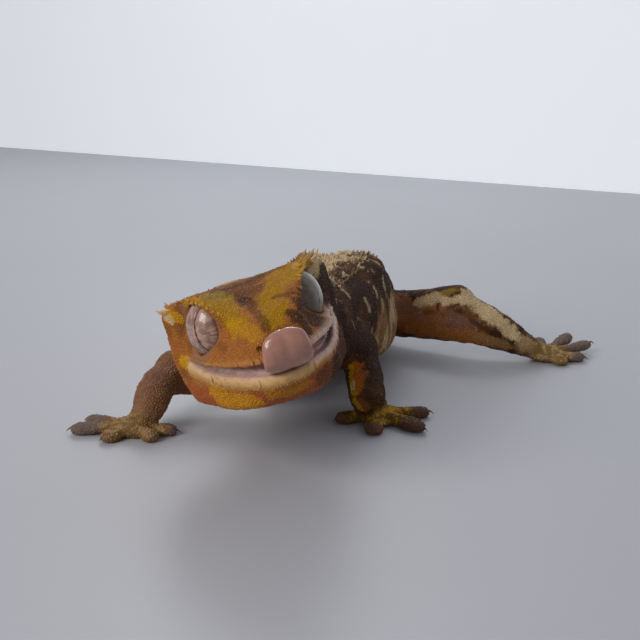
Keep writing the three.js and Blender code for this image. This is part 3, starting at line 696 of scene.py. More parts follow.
def surface_net(field, axes):
    """The closed surface where a field is zero: one point in each cell of the grid that it crosses, at
    the mean of its crossings with the cell's edges, and one quad round each grid edge that it crosses."""
    solid = field < 0
    size = np.array(field.shape) - 1
    count = np.zeros(size, np.int8)
    for x, y, z in CORNERS:
        count += solid[x:size[0] + x, y:size[1] + y, z:size[2] + z]
    active = (count > 0) & (count < 8)
    cells = np.argwhere(active)
    number = np.full(active.shape, -1, np.int32)
    number[active] = np.arange(len(cells))
    at = [cells + corner for corner in CORNERS]
    value = [field[tuple(k.T)].astype(float) for k in at]
    place = [np.stack([line[k[:, n]] for n, line in enumerate(axes)], 1) for k in at]
    total, crossings = np.zeros((len(cells), 3)), np.zeros((len(cells), 1))
    for a, b in EDGES:
        crossed = ((value[a] < 0) != (value[b] < 0))[:, None]
        share = (value[a] / np.where(value[a] == value[b], 1, value[a] - value[b]))[:, None]
        total += np.where(crossed, place[a] + share * (place[b] - place[a]), 0)
        crossings += crossed
    quads = []
    for axis in range(3):
        along, aside = np.eye(3, dtype=int)[[(axis + 1) % 3, (axis + 2) % 3]]
        low = np.take(solid, range(size[axis]), axis)
        high = np.take(solid, range(1, size[axis] + 1), axis)
        edge = np.argwhere(low != high)
        inner = (edge @ along > 0) & (edge @ aside > 0)
        inner &= (edge @ along < size @ along) & (edge @ aside < size @ aside)
        edge = edge[inner]
        round_edge = (edge - along - aside, edge - aside, edge, edge - along)
        ring = np.stack([number[tuple(k.T)] for k in round_edge], 1)
        inward = ~low[tuple(edge.T)]
        ring[inward] = ring[inward][:, ::-1]
        quads.append(ring)
    return total / crossings, np.concatenate(quads)


def point_normals(points, quads):
    """Normals of a mesh's points: the sum of the cross products of the quads' diagonals round each."""
    cross = np.cross(points[quads[:, 2]] - points[quads[:, 0]], points[quads[:, 3]] - points[quads[:, 1]])
    total = np.zeros_like(points)
    for n in range(4):
        for axis in range(3):
            total[:, axis] += np.bincount(quads[:, n], cross[:, axis], len(points))
    return unit(total)


# Markings: the same colours for the skin and for everything that grows on it. Each mark is a colour,
# the two ends of a stripe, its half width and its strength.

HEAD_MARKS = [
    ("umber", (-3.5, -2.4, 4.7), (4.0, 2.0, 5.0), 2.6, 0.9),
    ("chocolate", (-4.5, -0.2, 4.9), (3.0, 3.0, 5.1), 1.7, 0.5),
    ("umber", (-7.0, 6.5, 4.4), (7.0, 8.0, 4.2), 4.4, 0.75),
    ("umber", (0.6, -3.8, 4.1), (-1.6, -5.6, 3.8), 1.7, 0.8),
    ("olive", (-5.4, -2.4, 4.8), (-4.9, -6.2, 4.1), 1.9, 0.9),
    ("mustard", (-4.9, -5.6, 4.1), (-3.9, -11.2, 1.6), 1.7, 0.95),
    ("gold", (-4.4, -11.0, 1.2), (-2.6, -13.6, 0.0), 1.4, 0.5),
    ("mustard", (-8.9, 0.6, 4.6), (-6.9, -4.6, 4.6), 0.9, 0.85),
    ("mustard", (4.4, -1.4, 5.0), (7.3, -3.3, 4.7), 1.9, 1.0),
    ("mustard", (3.6, -5.2, 4.3), (5.8, -5.2, 4.5), 2.1, 1.0),
    ("mustard", (6.8, -2.6, 4.9), (8.8, 1.6, 5.0), 1.2, 1.0),
    ("mustard", (2.0, -7.2, 3.4), (0.6, -11.4, 1.6), 1.8, 1.0),
    ("mustard", (2.2, -11.0, 1.9), (0.4, -13.2, 0.5), 1.6, 1.0),
    ("umber", (2.2, -8.6, 2.8), (5.4, -9.6, 2.2), 0.5, 0.8),
    ("chocolate", (-1.8, -6.2, 3.5), (-1.3, -7.7, 3.0), 1.1, 0.75),
    ("umber", (-1.3, -7.7, 3.0), (-0.8, -13.7, 0.1), 0.75, 0.75),
    # These four marks on the left side of the snout, round the left nostril and on the left cheek are partly
    # the animal's own dark brown and partly painted shade on the side turned from the light
    ("chocolate", (5.6, -10.2, 0.4), (6.8, -8.2, -1.6), 2.4, 0.85),
    ("chocolate", (3.4, -12.9, 0.6), (4.5, -13.0, -2.1), 1.1, 0.8),
    ("umber", (7.4, -5.4, 1.6), (8.0, -5.0, -1.5), 1.3, 0.8),
    ("chocolate", (10.8, 4.6, -0.6), (10.8, 4.2, -3.2), 2.4, 0.85),
    ("gold", (-12.3, 5.8, 3.1), (-10.6, 3.4, 2.7), 1.0, 0.85),
    ("cream", (-12.5, 6.1, 3.4), (-11.9, 5.2, 2.2), 0.7, 0.85),
    ("cream", (10.4, 3.0, 4.0), (11.6, 7.4, 2.6), 2.1, 0.9),
    ("mustard", (8.4, -0.2, 4.9), (9.4, 1.4, 4.4), 0.9, 0.9),
    ("cream", (8.6, 9.5, 3.6), (10.5, 12.0, 2.6), 2.2, 0.8),
    ("tan", (9.4, 2.8, 5.6), (10.4, 6.4, 5.2), 1.5, 0.85),
    # Dark brown behind the left cheek, deepened by painted shade on the side turned from the light
    ("chocolate", (12.4, 6.5, 0.0), (12.6, 8.0, -5.0), 3.2, 0.95),
    ("gold", (-12.2, 6.0, -4.6), (-11.3, 3.2, -4.4), 1.0, 0.95),
    ("gold", (-9.4, -3.6, -9.0), (-5.4, -11.2, -9.3), 1.8, 0.7),
    ("gold", (-2.6, -14.2, -8.6), (1.6, -14.4, -9.0), 1.2, 0.45),
    # The left jaw's underside: dark brown deepened by painted shade, where the right jaw's underside is gold
    ("chocolate", (11.8, 3.5, -9.0), (8.0, -6.5, -9.4), 2.7, 0.9),
    ("chocolate", (8.0, -6.5, -9.0), (4.5, -12.0, -9.0), 1.7, 0.6),
]
TRUNK_MARKS = [
    ("cream", (10.5, 18.7, 18.6), (10.8, 18.0, 17.0), 0.5, 0.75),
    ("cream", (10.6, 26.2, 18.9), (11.5, 24.2, 17.0), 0.45, 0.7),
    ("cream", (7.4, 21.5, 21.2), (8.4, 21.3, 20.3), 0.6, 0.75),
    ("cream", (5.9, 7.6, 22.0), (6.2, 7.2, 21.8), 0.4, 0.7),
    ("cream", (6.4, 3.6, 21.8), (6.9, 3.7, 21.4), 0.45, 0.95),
    ("cream", (7.4, 5.0, 20.9), (8.2, 5.4, 19.9), 0.45, 0.75),
    ("cream", (9.9, 11.4, 18.0), (10.8, 12.2, 15.8), 0.6, 0.65),
    ("chocolate", (11.6, 22.4, 17.4), (12.3, 24.5, 9.0), 0.8, 0.85),
    ("cream", (12.3, 28.0, 14.5), (12.2, 30.0, 9.0), 1.0, 0.45),
    ("cream", (-10.6, 18.0, 17.5), (-11.2, 17.2, 15.6), 0.5, 0.7),
    ("cream", (-7.4, 21.5, 21.2), (-8.4, 21.3, 20.3), 0.6, 0.75),
]
# Along the leg's inner edge the gold and cream are partly real gold scales and partly a painted rim of
# backlight; the orange glow down its middle is painted light shining through the leg
ARM_LEFT_MARKS = [
    ("umber", (9.0, 1.0, 8.6), (11.5, -3.2, 5.0), 2.2, 0.5),
    ("backlight_glow", (10.2, 0.9, 8.6), (11.2, -3.0, 5.8), 1.0, 0.75),
    ("brick", (11.6, -0.6, 7.8), (12.4, -4.6, 3.4), 0.9, 0.5),
    ("gold", (9.2, 0.9, 8.6), (9.6, -0.8, 6.8), 0.5, 1.0),
    ("gold", (9.9, -1.6, 6.5), (10.8, -3.0, 5.4), 0.7, 1.0),
    ("cream", (9.9, -1.8, 6.5), (10.4, -2.4, 6.0), 0.5, 0.95),
    ("gold", (10.8, -4.0, 4.4), (11.6, -4.6, 3.2), 0.5, 0.8),
]
LEG_LEFT_MARKS = [
    ("umber", (12.0, 40.0, 8.0), (28.0, 37.0, 7.0), 4.6, 0.95),
    ("mauve", (9.0, 40.0, 8.8), (26.0, 37.0, 7.8), 2.8, 0.85),
    ("rust", (9.0, 40.5, 9.2), (19.0, 38.3, 8.2), 3.4, 0.55),
    ("mauve", (12.0, 40.0, 10.0), (17.0, 39.0, 9.4), 1.6, 0.7),
    ("brick", (9.0, 39.5, 5.6), (16.0, 38.5, 4.8), 1.8, 0.6),
    ("rust", (16.0, 38.5, 4.8), (29.2, 36.0, 4.2), 2.1, 0.85),
    ("umber", (18.5, 38.2, 9.2), (27.5, 36.6, 9.6), 0.7, 0.8),
    ("cream", (16.4, 39.2, 10.8), (20.4, 38.4, 12.3), 1.2, 0.8),
    ("cream", (22.0, 37.6, 12.0), (25.6, 37.2, 12.3), 0.95, 0.85),
    ("olive", (21.4, 38.4, 13.3), (24.8, 38.4, 13.7), 0.6, 0.75),
    ("cream", (26.2, 38.6, 13.0), (30.4, 37.2, 10.2), 1.7, 0.9),
    ("cream", (30.4, 37.2, 10.2), (36.2, 36.0, 5.7), 1.4, 0.9),
    ("cream", (36.2, 36.0, 5.7), (39.4, 36.8, 3.2), 1.2, 0.8),
    ("chocolate", (27.6, 36.6, 8.2), (34.8, 35.6, 4.6), 0.55, 0.7),
    ("tan", (28.4, 36.2, 5.4), (34.2, 35.8, 3.4), 1.3, 0.8),
    ("tan", (37.4, 36.4, 4.0), (40.5, 37.5, 2.0), 1.6, 0.6),
]

# Feet: leg, tone of the foot's back and its share, tone of its dust and its share, tone of its pads
FEET = {
    "hand_left": ("arm_left", "chocolate", 0.6, "gold", 0.75, "hazel"),
    "hand_right": ("arm_right", "mauve", 0.45, "cream", 0.3, "slate"),
    "foot_left": ("leg_left", "tan", 0.7, "cream", 0.5, "slate"),
    "foot_right": ("leg_right", "tan", 0.7, "cream", 0.5, "slate"),
}

# How ragged a mark's edge is, and where the tail's saddles end on its sides: places back and heights
RAGGED = 0.8
SADDLE_EDGE = ([52, 65, 90, 132], [9, 4.6, 3.0, 0.9])


def tinted(colour, over, amount):
    """Lays one colour over others, by a share from 0 to 1 for all points or at each."""
    return colour + np.asarray(amount)[..., None] * (over - colour)


def layered(colour, tones, layers):
    """Lays a list of tones over the colour, one after another, each by its own share."""
    for name, amount in layers:
        colour = tinted(colour, tones[name], amount)
    return colour


def mark_share(points, start, end, half):
    """Share of a stripe at each point: 1 near the line between its ends, 0 beyond its half width, with
    an edge that noise breaks into scales."""
    start, end = np.array(start, float), np.array(end, float)
    line = end - start
    t = np.clip((points - start) @ line / max(line @ line, 1e-9), 0, 1)
    away = np.linalg.norm(points - start - t[:, None] * line, axis=1) / half
    edge = away + RAGGED * (noise(points, 1.3, 4) - 0.5) + 0.8 * RAGGED * (noise(points, 0.5, 5) - 0.5)
    return eased((1.25 - edge) / 0.5)


def marked(points, colour, marks, tones):
    """Lays every mark of a list over the ground colour."""
    return layered(colour, tones, (
        (name, strength * mark_share(points, start, end, half))
        for name, start, end, half, strength in marks))


def ground(points, tones, name):
    """One colour for all points."""
    return np.tile(tones[name], (len(points), 1))


def patches(points, size, seed, level, gain):
    """Patches of noise: 0 where it is below the level, rising to 1 as fast as the gain says."""
    return eased((noise(points, size, seed) - level) * gain)


def head_colours(points, tones):
    """Rust above and brick below, with the patches of snout, brows, cheeks and chin, pale lips and the
    mouth's lining, and painted shade on the left of cheek, jaw and mouth, the side turned from the light."""
    local = to_head(points)
    x, y, z = local.T
    eyes = [in_eye(local, sign) for sign in (-1, 1)]
    lids = [eased((LID["tinted"] - lid_place(eye)) / 0.5) * eased(eye[:, 2] + 1) for eye in eyes]
    behind = y - 9.5 + 0.3 * np.clip(x, -2, 12) + 5 * (noise(local, 1.8, 24) - 0.5)
    colour = layered(ground(points, tones, "rust"), tones, [
        ("umber", 0.45 * patches(local, 2.2, 6, 0.5, 4)),
        ("brick", eased((-7.2 - z) / 1.2)),
        ("chocolate", 0.9 * eased(behind / 1.5)),
        *(("mauve", 0.6 * lid) for lid in lids),
    ])
    colour = marked(local, colour, HEAD_MARKS, tones)
    upper, lower = lips(local)
    front, left = eased((MOUTH_CORNER + 1.0 - y) / 2), eased((x - 2) / 4)
    depth = eased((-head_shell(points) - 0.3) / 0.4) * eased(-mouth_gap(local) * 2 + 1)
    behind_lip = eased((lower + 0.75 - 0.5 * left - z) / 0.5)
    return layered(colour, tones, [
        ("lip", front * (0.2 + 0.5 * left) * eased(1.3 - np.abs(z - upper - 0.2))),
        ("gum", front * 0.65 * left * eased(1.7 - np.abs(z - upper))),
        # On the left, the side turned from the light, the lower lip's pale band is narrowed: painted shade
        ("lip", front * 0.9 * eased(1.8 - 1.2 * left - np.abs(z - lower + 0.5))),
        ("gum", front * (0.35 + 0.45 * left) * eased((1.0 - np.abs(z - lower)) / 0.8)),
        ("flesh", depth),
        # The mouth's lining is darkened at its left corner, and less gum is laid behind the left lower lip:
        # painted shade
        ("chocolate", 0.9 * depth * eased((x - 5.5) / 3)),
        ("gum", (0.8 - 0.55 * left) * depth * behind_lip),
    ])


def trunk_colours(points, tones):
    """Chocolate sides, a cream band with a broken edge along the back, pale flecks, and a tan belly."""
    x, y, z = points.T
    row = rows_at(TRUNK, stations(TRUNK, y))
    below_top = row[:, 3] - z + 1.6 * (noise(points, 4.2, 7) - 0.5) + 1.2 * (noise(points, 0.6, 8) - 0.5)
    band = eased((1.6 * eased((9 - y) / 4) - below_top) / 0.5)
    half = 3.1 + 1.7 * eased((y - 24) / 5)
    stripe = eased((half - np.abs(x - row[:, 1]) + 2.4 * (noise(points, 1.5, 23) - 0.5)) / 0.6) * (z > 14)
    grain = 0.4 + 0.6 * patches(points * (1, 0.6, 1), 0.45, 22, 0.4, 6)
    fleck = patches(points * (1, 1, 0.45), 1.2, 10, 0.8, 12) * eased((z - 12) / 3)
    streak = 5 * (noise(points * (1, 1, 0.25), 1.4, 13) - 0.5)
    rear = eased(((0.62 + 0.006 * (y - 13)) * row[:, 3] - z + streak) / 1.6)
    rear = rear * eased((y - 12.6 + 6 * (noise(points, 1.6, 25) - 0.5)) / 2.2)
    pale = patches(points * (1, 1, 0.3), 1.3, 14, 0.56, 9)
    colour = layered(ground(points, tones, "chocolate"), tones, [
        ("umber", 0.35 * patches(points, 3.0, 9, 0.45, 4)),
        ("cream", 0.88 * np.maximum(band, stripe) * grain),
        ("cream", 0.6 * fleck),
        ("tan", 0.95 * rear),
        ("cream", 0.6 * rear * pale),
        ("umber", 0.45 * rear * (1 - pale) * patches(points, 0.9, 19, 0.5, 5)),
        ("tan", eased((5.6 - z) / 2.2)),
    ])
    return marked(points, colour, TRUNK_MARKS, tones)


def neck_colours(points, tones):
    """Chocolate above with cream scales at the nape, brick at the throat."""
    z = points[:, 2]
    top = (26.4 - z) / 3 + 1.2 * (noise(points, 3.2, 7) - 0.5) + 0.6 * (noise(points, 0.7, 8) - 0.5)
    return layered(ground(points, tones, "chocolate"), tones, [
        ("cream", 0.8 * eased((0.8 - top) / 0.4)),
        ("brick", 0.8 * eased((12.5 - z) / 4)),
    ])


def tail_colours(points, tones):
    """Chocolate with cream saddles above and tan below."""
    y, z = points[:, 1], points[:, 2]
    wave = np.sin(y / 2.1 + 3 * noise(points, 5.0, 11)) + 1.2 * (noise(points, 0.8, 8) - 0.5)
    above = eased((z - np.interp(y, *SADDLE_EDGE)) / 1.2)
    return layered(ground(points, tones, "chocolate"), tones, [
        ("cream", 0.75 * above * eased((wave - 0.1) / 0.5)),
        ("tan", 0.8 * eased((1.5 - z) / 1.0)),
        ("umber", 0.4 * patches(points, 2.5, 9, 0.45, 4)),
    ])


def arm_left_colours(points, tones):
    """Chocolate with brick, gold and cream patches along its front, partly a painted rim of backlight, and a
    painted orange glow of light shining through the leg.
    """
    return marked(points, ground(points, tones, "chocolate"), ARM_LEFT_MARKS, tones)


def arm_right_colours(points, tones):
    """Mauve brown, redder inside and dusted with gold at the wrist."""
    low = eased((5.6 - points[:, 2]) / 2.5)
    return layered(ground(points, tones, "umber"), tones, [
        ("mauve", 0.75),
        ("rust", 0.3 * eased((points[:, 0] + 21.0) / 3)),
        ("gold", (0.12 + 0.4 * low) * patches(points, 0.5, 12, 0.66, 10)),
    ])


def leg_colours(points, tones):
    """Dark above, cream patches over knee and shin, rust below; the right leg is the left's mirror."""
    x, y, z = points.T
    local = np.stack([np.abs(x), np.where(x < 0, y + 3, y), z], 1)
    colour = ground(points, tones, "chocolate")
    colour = tinted(colour, tones["umber"], 0.6 * patches(points, 2.0, 9, 0.42, 4))
    return marked(local, colour, LEG_LEFT_MARKS, tones)


def foot_colours(foot, points, tones):
    """Brown back of the foot with an olive tint, dusted with gold or cream scales, and plain pads."""
    leg, base, base_share, dust_tone, dust_share, pad = FEET[foot]
    away = np.linalg.norm(points[:, :2] - LEGS[leg]["palm"], axis=1)
    dust = eased((noise(points, 0.55, 12) + 0.35 * noise(points, 2.4, 15) - 0.68) * 7)
    dust *= eased((points[:, 2] - 0.6) / 0.6)
    return layered(ground(points, tones, "umber"), tones, [
        (base, base_share),
        ("olive", 0.35 * eased((7.0 - away) / 3)),
        (dust_tone, dust_share * dust * eased((7.5 - away) / 2.5)),
        ("cream", 0.6 * dust_share * patches(points, 0.5, 16, 0.76, 12)),
        (pad, 0.92 * eased((away - 5.2) / 1.4)),
    ])


REGION_COLOURS = {
    "head": head_colours,
    "neck": neck_colours,
    "torso": trunk_colours,
    "tail": tail_colours,
    "arm_left": arm_left_colours,
    "arm_right": arm_right_colours,
    "leg_left": leg_colours,
    "leg_right": leg_colours,
    **{foot: partial(foot_colours, foot) for foot in FEET},
}
REGIONS = list(REGION_COLOURS)

# Width in millimetres over which the colours of two regions mix, and the least share that counts
REGION_MIX, LEAST_SHARE = 0.35, 0.02


def region_distances(points):
    """How far each point is from each region's nearest form."""
    away = np.full((len(points), len(REGIONS)), FAR * 4)
    for name, low, high, distance, _ in body_forms():
        inside = np.all((points >= low) & (points <= high), axis=1)
        n = REGIONS.index(name)
        away[inside, n] = np.minimum(away[inside, n], distance(points[inside]))
    return away


def markings(points):
    """Colour of the animal at each point: every region's own colours, mixed by how near it is."""
    tones = palette()
    away = region_distances(points)
    weight = np.exp(-(away - away.min(1, keepdims=True)) / REGION_MIX)
    weight[weight < LEAST_SHARE] = 0
    weight /= weight.sum(1, keepdims=True)
    colour = np.zeros((len(points), 3))
    for n, name in enumerate(REGIONS):
        used = weight[:, n] > 0
        if used.any():
            colour[used] += weight[used, n:n + 1] * REGION_COLOURS[name](points[used], tones)
    return np.clip(colour, 0, 1)


# Meshes

def make_piece(name, points, faces, material, replaces=(), colour=None, values=None, bake=None):
    """Puts arrays into a mesh object in metres, with its colours, and rides it on the body."""
    mesh = bpy.data.meshes.new(name)
    sizes = np.concatenate([np.full(len(f), f.shape[1]) for f in faces])
    corners = np.concatenate([f.ravel() for f in faces]).astype(np.int32)
    mesh.vertices.add(len(points))
    mesh.vertices.foreach_set("co", ((points + SHIFT) * 0.001).astype(np.float32).ravel())
    mesh.loops.add(len(corners))
    mesh.loops.foreach_set("vertex_index", corners)
    mesh.polygons.add(len(sizes))
    mesh.polygons.foreach_set("loop_start", np.concatenate([[0], np.cumsum(sizes)[:-1]]).astype(np.int32))
    mesh.polygons.foreach_set("use_smooth", np.ones(len(sizes), bool))
    mesh.update(calc_edges=True)
    if mesh.validate():
        raise RuntimeError(f"{name} has faces that its mesh can't hold")
    if colour is not None:
        layer = mesh.color_attributes.new("markings", "FLOAT_COLOR", "POINT")
        opaque = np.hstack([colour, np.ones((len(colour), 1))])
        layer.data.foreach_set("color", opaque.astype(np.float32).ravel())
    for key, value in (values or {}).items():
        mesh.attributes.new(key, "FLOAT", "POINT").data.foreach_set("value", value.astype(np.float32))
    if bake is not None:
        mesh.uv_layers.new(name="OFBake").data.foreach_set("uv", bake[corners].astype(np.float32).ravel())
    mesh.materials.append(material)
    piece = bpy.data.objects.new(name, mesh)
    bpy.context.scene.collection.objects.link(piece)
    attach(piece, "root")
    if replaces:
        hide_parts(*replaces)
    return piece


def repeated(template, faces, roots, across, aside, out):
    """One small shape on many roots: each corner is the root plus its three parts along the root's own
    three vectors."""
    points = roots[:, None]
    for n, way in enumerate((across, aside, out)):
        points = points + template[None, :, n:n + 1] * way[:, None]
    offset = (np.arange(len(roots)) * len(template))[:, None, None]
    return points.reshape(-1, 3), [(f[None] + offset).reshape(-1, f.shape[1]) for f in faces]


def dome(sides, rings):
    """A closed dome of unit radius and height: rings given as radius and height from the root up, a
    flat underside and a point on top."""
    angle = np.arange(sides) * 2 * np.pi / sides
    circle = np.stack([np.cos(angle), np.sin(angle)], 1)
    levels = [np.hstack([circle * r, np.full((sides, 1), h)]) for r, h in rings]
    points = np.concatenate([*levels, [[0, 0, 1]]])
    n = np.arange(sides)
    m = (n + 1) % sides
    quads = np.concatenate([
        np.stack([n + k * sides, m + k * sides, m + (k + 1) * sides, n + (k + 1) * sides], 1)
        for k in range(len(rings) - 1)])
    top = (len(rings) - 1) * sides
    caps = np.stack([n + top, m + top, np.full(sides, len(points) - 1)], 1)
    under = np.stack([np.zeros(sides - 2, int), np.arange(2, sides), np.arange(1, sides - 1)], 1)
    return points, [quads, np.concatenate([caps, under])]


def tangents(normals, turn):
    """Two vectors across each normal, turned about it."""
    first = unit(np.cross(normals, np.where(np.abs(normals[:, 2:]) < 0.9, UP, [1.0, 0, 0])))
    second = np.cross(normals, first)
    c, s = np.cos(turn)[:, None], np.sin(turn)[:, None]
    return c * first + s * second, c * second - s * first


BAKE_PATCH, BAKE_MARGIN = 0.003, 0.03


def bake_places(roots, normals, template):
    """Each scale as a small patch at its root's place on an unwrap of the skin: the six sides that the
    skin faces are laid flat beside each other, three across and two down, each filling its cell."""
    axis = np.abs(normals).argmax(1)
    side = 2 * axis + (np.take_along_axis(normals, axis[:, None], 1)[:, 0] > 0)
    across = np.where(axis == 0, roots[:, 1], roots[:, 0])
    along = np.where(axis == 2, roots[:, 1], roots[:, 2])
    flat = np.stack([across, along], 1)
    cell = np.array([1 / 3, 1 / 2])
    place = np.zeros((len(roots), 2))
    for n in range(6):
        here = side == n
        if here.any():
            low, high = flat[here].min(0), flat[here].max(0)
            share = (flat[here] - low) / np.maximum(high - low, 0.1)
            corner = np.array([n % 3, n // 3]) + BAKE_MARGIN
            place[here] = cell * (corner + (1 - 2 * BAKE_MARGIN) * share)
    patch = template[:, :2] * BAKE_PATCH / 2
    return (place[:, None] + patch[None]).reshape(-1, 2)


# Materials

def add_node(tree, kind, attributes=None, inputs=None):
    """Adds one node, sets its attributes, and sets or links its inputs."""
    made = tree.nodes.new(kind)
    for name, value in (attributes or {}).items():
        setattr(made, name, value)
    for name, value in (inputs or {}).items():
        if isinstance(value, bpy.types.NodeSocket):
            tree.links.new(value, made.inputs[name])
        else:
            made.inputs[name].default_value = value
    return made


def new_material(name, inputs, build=None):
    """A Principled material with constants on its sockets, and the links that build adds."""
    material = bpy.data.materials.new(name)
    material.use_nodes = True
    tree = material.node_tree
    shader = tree.nodes["Principled BSDF"]
    for key, value in inputs.items():
        shader.inputs[key].default_value = value
    if build:
        build(tree, shader)
    return material


def noise_of(tree, millimetres, detail=3.0):
    """Noise on Object coordinates with features of a real size."""
    place = add_node(tree, "ShaderNodeTexCoord")
    return add_node(tree, "ShaderNodeTexNoise", inputs={
        "Vector": place.outputs["Object"], "Scale": 1000 / millimetres, "Detail": detail})


def painted(tree, shader, variation, millimetres):
    """The markings attribute as base colour, varied a little by noise."""
    paint = add_node(tree, "ShaderNodeAttribute", {"attribute_name": "markings"})
    grain = noise_of(tree, millimetres)
    shade = add_node(tree, "ShaderNodeMapRange", inputs={
        "Value": grain.outputs[0], "From Min": 0.3, "From Max": 0.7,
        "To Min": 1 - variation, "To Max": 1 + variation})
    mixed = add_node(tree, "ShaderNodeVectorMath", {"operation": "SCALE"}, {
        0: paint.outputs["Color"], "Scale": shade.outputs[0]})
    tree.links.new(mixed.outputs[0], shader.inputs["Base Color"])
    return grain


def two_toned(tree, shader, grain, low, high):
    """Base colour that noise mixes from two colours."""
    mixed = add_node(tree, "ShaderNodeMix", {"data_type": "RGBA"}, {
        0: grain.outputs[0], 6: (*low, 1), 7: (*high, 1)})
    tree.links.new(mixed.outputs[2], shader.inputs["Base Color"])


def bumped(tree, shader, millimetres, depth):
    """Bump from fine noise, with its depth in millimetres."""
    fine = noise_of(tree, millimetres, 4.0)
    bump = add_node(tree, "ShaderNodeBump", inputs={
        "Height": fine.outputs[0], "Distance": depth / 1000, "Strength": 1.0})
    tree.links.new(bump.outputs["Normal"], shader.inputs["Normal"])


def skin_material():
    """Bare skin between the scales: soft and matt, wet inside the mouth."""
    def build(tree, shader):
        painted(tree, shader, 0.12, 0.9)
        bumped(tree, shader, 0.25, 0.05)
        wet = add_node(tree, "ShaderNodeAttribute", {"attribute_name": "wet"})
        rough = add_node(tree, "ShaderNodeMapRange", inputs={
            "Value": wet.outputs["Fac"], "To Min": 0.66, "To Max": 0.2})
        tree.links.new(rough.outputs[0], shader.inputs["Roughness"])
    return new_material("gecko_skin", {
        "IOR": 1.45, "Specular IOR Level": 0.25,
        "Subsurface Weight": 0.06, "Subsurface Scale": 0.0006}, build)


def scale_material(name, roughness):
    """Keratin scales: a low waxy shine on each grain."""
    def build(tree, shader):
        grain = painted(tree, shader, 0.1, 0.35)
        rough = add_node(tree, "ShaderNodeMapRange", inputs={
            "Value": grain.outputs[0], "From Min": 0.3, "From Max": 0.7,
            "To Min": roughness - 0.08, "To Max": roughness + 0.1})
        tree.links.new(rough.outputs[0], shader.inputs["Roughness"])
    return new_material(name, {"IOR": 1.54, "Specular IOR Level": 0.12}, build)


def tongue_material():
    """Wet mucous membrane: blood shows through it, and a film of water shines on it."""
    def build(tree, shader):
        flesh = palette()["tongue"]
        dark, pale = flesh * (0.72, 0.6, 0.58), np.minimum(flesh * 1.25, 1)
        two_toned(tree, shader, noise_of(tree, 1.6, 5.0), dark, pale)
        bumped(tree, shader, 0.35, 0.05)
    return new_material("tongue_membrane", {
        "Roughness": 0.3, "IOR": 1.4, "Coat Weight": 0.8, "Coat Roughness": 0.06,
        "Subsurface Weight": 0.25, "Subsurface Scale": 0.001}, build)


def eye_material():
    """Iris under the clear scale that covers a gecko's eye."""
    def build(tree, shader):
        painted(tree, shader, 0.06, 0.3)
    return new_material("eye_spectacle", {
        "Roughness": 0.32, "IOR": 1.38, "Coat Weight": 1.0, "Coat Roughness": 0.03, "Coat IOR": 1.42}, build)


def claw_material():
    """Horn: smooth and dark, with paler streaks."""
    def build(tree, shader):
        horn = palette()["claw"]
        two_toned(tree, shader, noise_of(tree, 0.3), horn, horn * 2.2)
    return new_material("claw_horn", {"Roughness": 0.25, "IOR": 1.54}, build)


def stage_material(name, colour, variation, roughness, glow):
    """Paint or paper, faintly uneven; the floor's is satin, and the wall's lets light through."""
    def build(tree, shader):
        low, high = colour * (1 - variation), np.minimum(colour * (1 + variation), 1)
        two_toned(tree, shader, noise_of(tree, 60.0), low, high)
    return new_material(name, {
        "Roughness": roughness, "IOR": 1.45,
        "Emission Color": (*colour, 1), "Emission Strength": glow}, build)


# Pieces

SKIN = {}

# Painted shade: how bright the skin is between the scales; places tried for each root, rounds of thinning,
# lowest root
SHADE_BETWEEN_SCALES = 0.8
PLACES_TRIED, THINNING_ROUNDS, LOWEST_ROOT = 5.0, 7, 0.25


def build_skin():
    """The one skin of the whole animal, and what the scales need to know of it: where it is bare inside
    mouth and sockets and at the rims of lips and lids."""
    field, axes = body_field(bpy.context.scene.gecko_form)
    points, quads = surface_net(field, axes)
    normals = point_normals(points, quads)
    local = to_head(points)
    shell = head_shell(points)
    region = region_distances(points).argmin(1)
    on_head = region == REGIONS.index("head")
    inside = eased((-shell - 0.5) / 0.3) * on_head
    gap = eased(1 - mouth_gap(local)) * on_head
    wet = inside * gap
    upper, lower = lips(local)
    y, z = local[:, 1], local[:, 2]
    rims = on_head & (y < MOUTH_CORNER) & (z < upper + 0.9) & (z > lower - 1.5)
    for sign in (-1, 1):
        eye = in_eye(local, sign)
        rims |= on_head & (lid_place(eye) < LID["bare"]) & (eye[:, 2] > -0.5)
    SKIN.update(points=points, quads=quads, normals=normals, region=region, bare=(inside > 0.3) | rims)
    colour = markings(points)
    # Painted shade: the skin between the scales is darkened, but not inside the mouth or at the rims of lips
    # and lids
    dark = np.where((wet > 0.3) | rims, 1.0, SHADE_BETWEEN_SCALES)[:, None]
    make_piece("skin", points, [quads], skin_material(), FLESH, colour * dark, {"wet": wet})


def scattered(regions, spacing, seed):
    """Roots of scales over some regions of the skin, at least the spacing apart. Random places on the
    skin's triangles are thinned in rounds: the best of each cell of a grid stays unless a better one of
    a neighbouring cell is too near, and what lies too near to one that stays is dropped."""
    random = np.random.default_rng(seed)
    quads = SKIN["quads"]
    numbers = [REGIONS.index(region) for region in regions]
    quads = quads[np.isin(SKIN["region"][quads[:, 0]], numbers) & ~SKIN["bare"][quads].any(1)]
    corners = np.concatenate([quads[:, [0, 1, 2]], quads[:, [0, 2, 3]]])
    a, b, c = (SKIN["points"][corners[:, n]] for n in range(3))
    area = np.linalg.norm(np.cross(b - a, c - a), axis=1) / 2
    count = int(PLACES_TRIED * area.sum() / spacing**2)
    chosen = np.searchsorted(np.cumsum(area), random.random(count) * area.sum())
    u, v = random.random((2, count, 1))
    over = u + v > 1
    u, v = np.where(over, 1 - u, u), np.where(over, 1 - v, v)
    places = a[chosen] * (1 - u - v) + b[chosen] * u + c[chosen] * v
    na, nb, nc = (SKIN["normals"][corners[chosen, n]] for n in range(3))
    normals = unit(na * (1 - u - v) + nb * u + nc * v)
    above = places[:, 2] > LOWEST_ROOT
    places, normals = places[above], normals[above]
    kept = thinned(places, spacing)
    return places[kept], normals[kept]


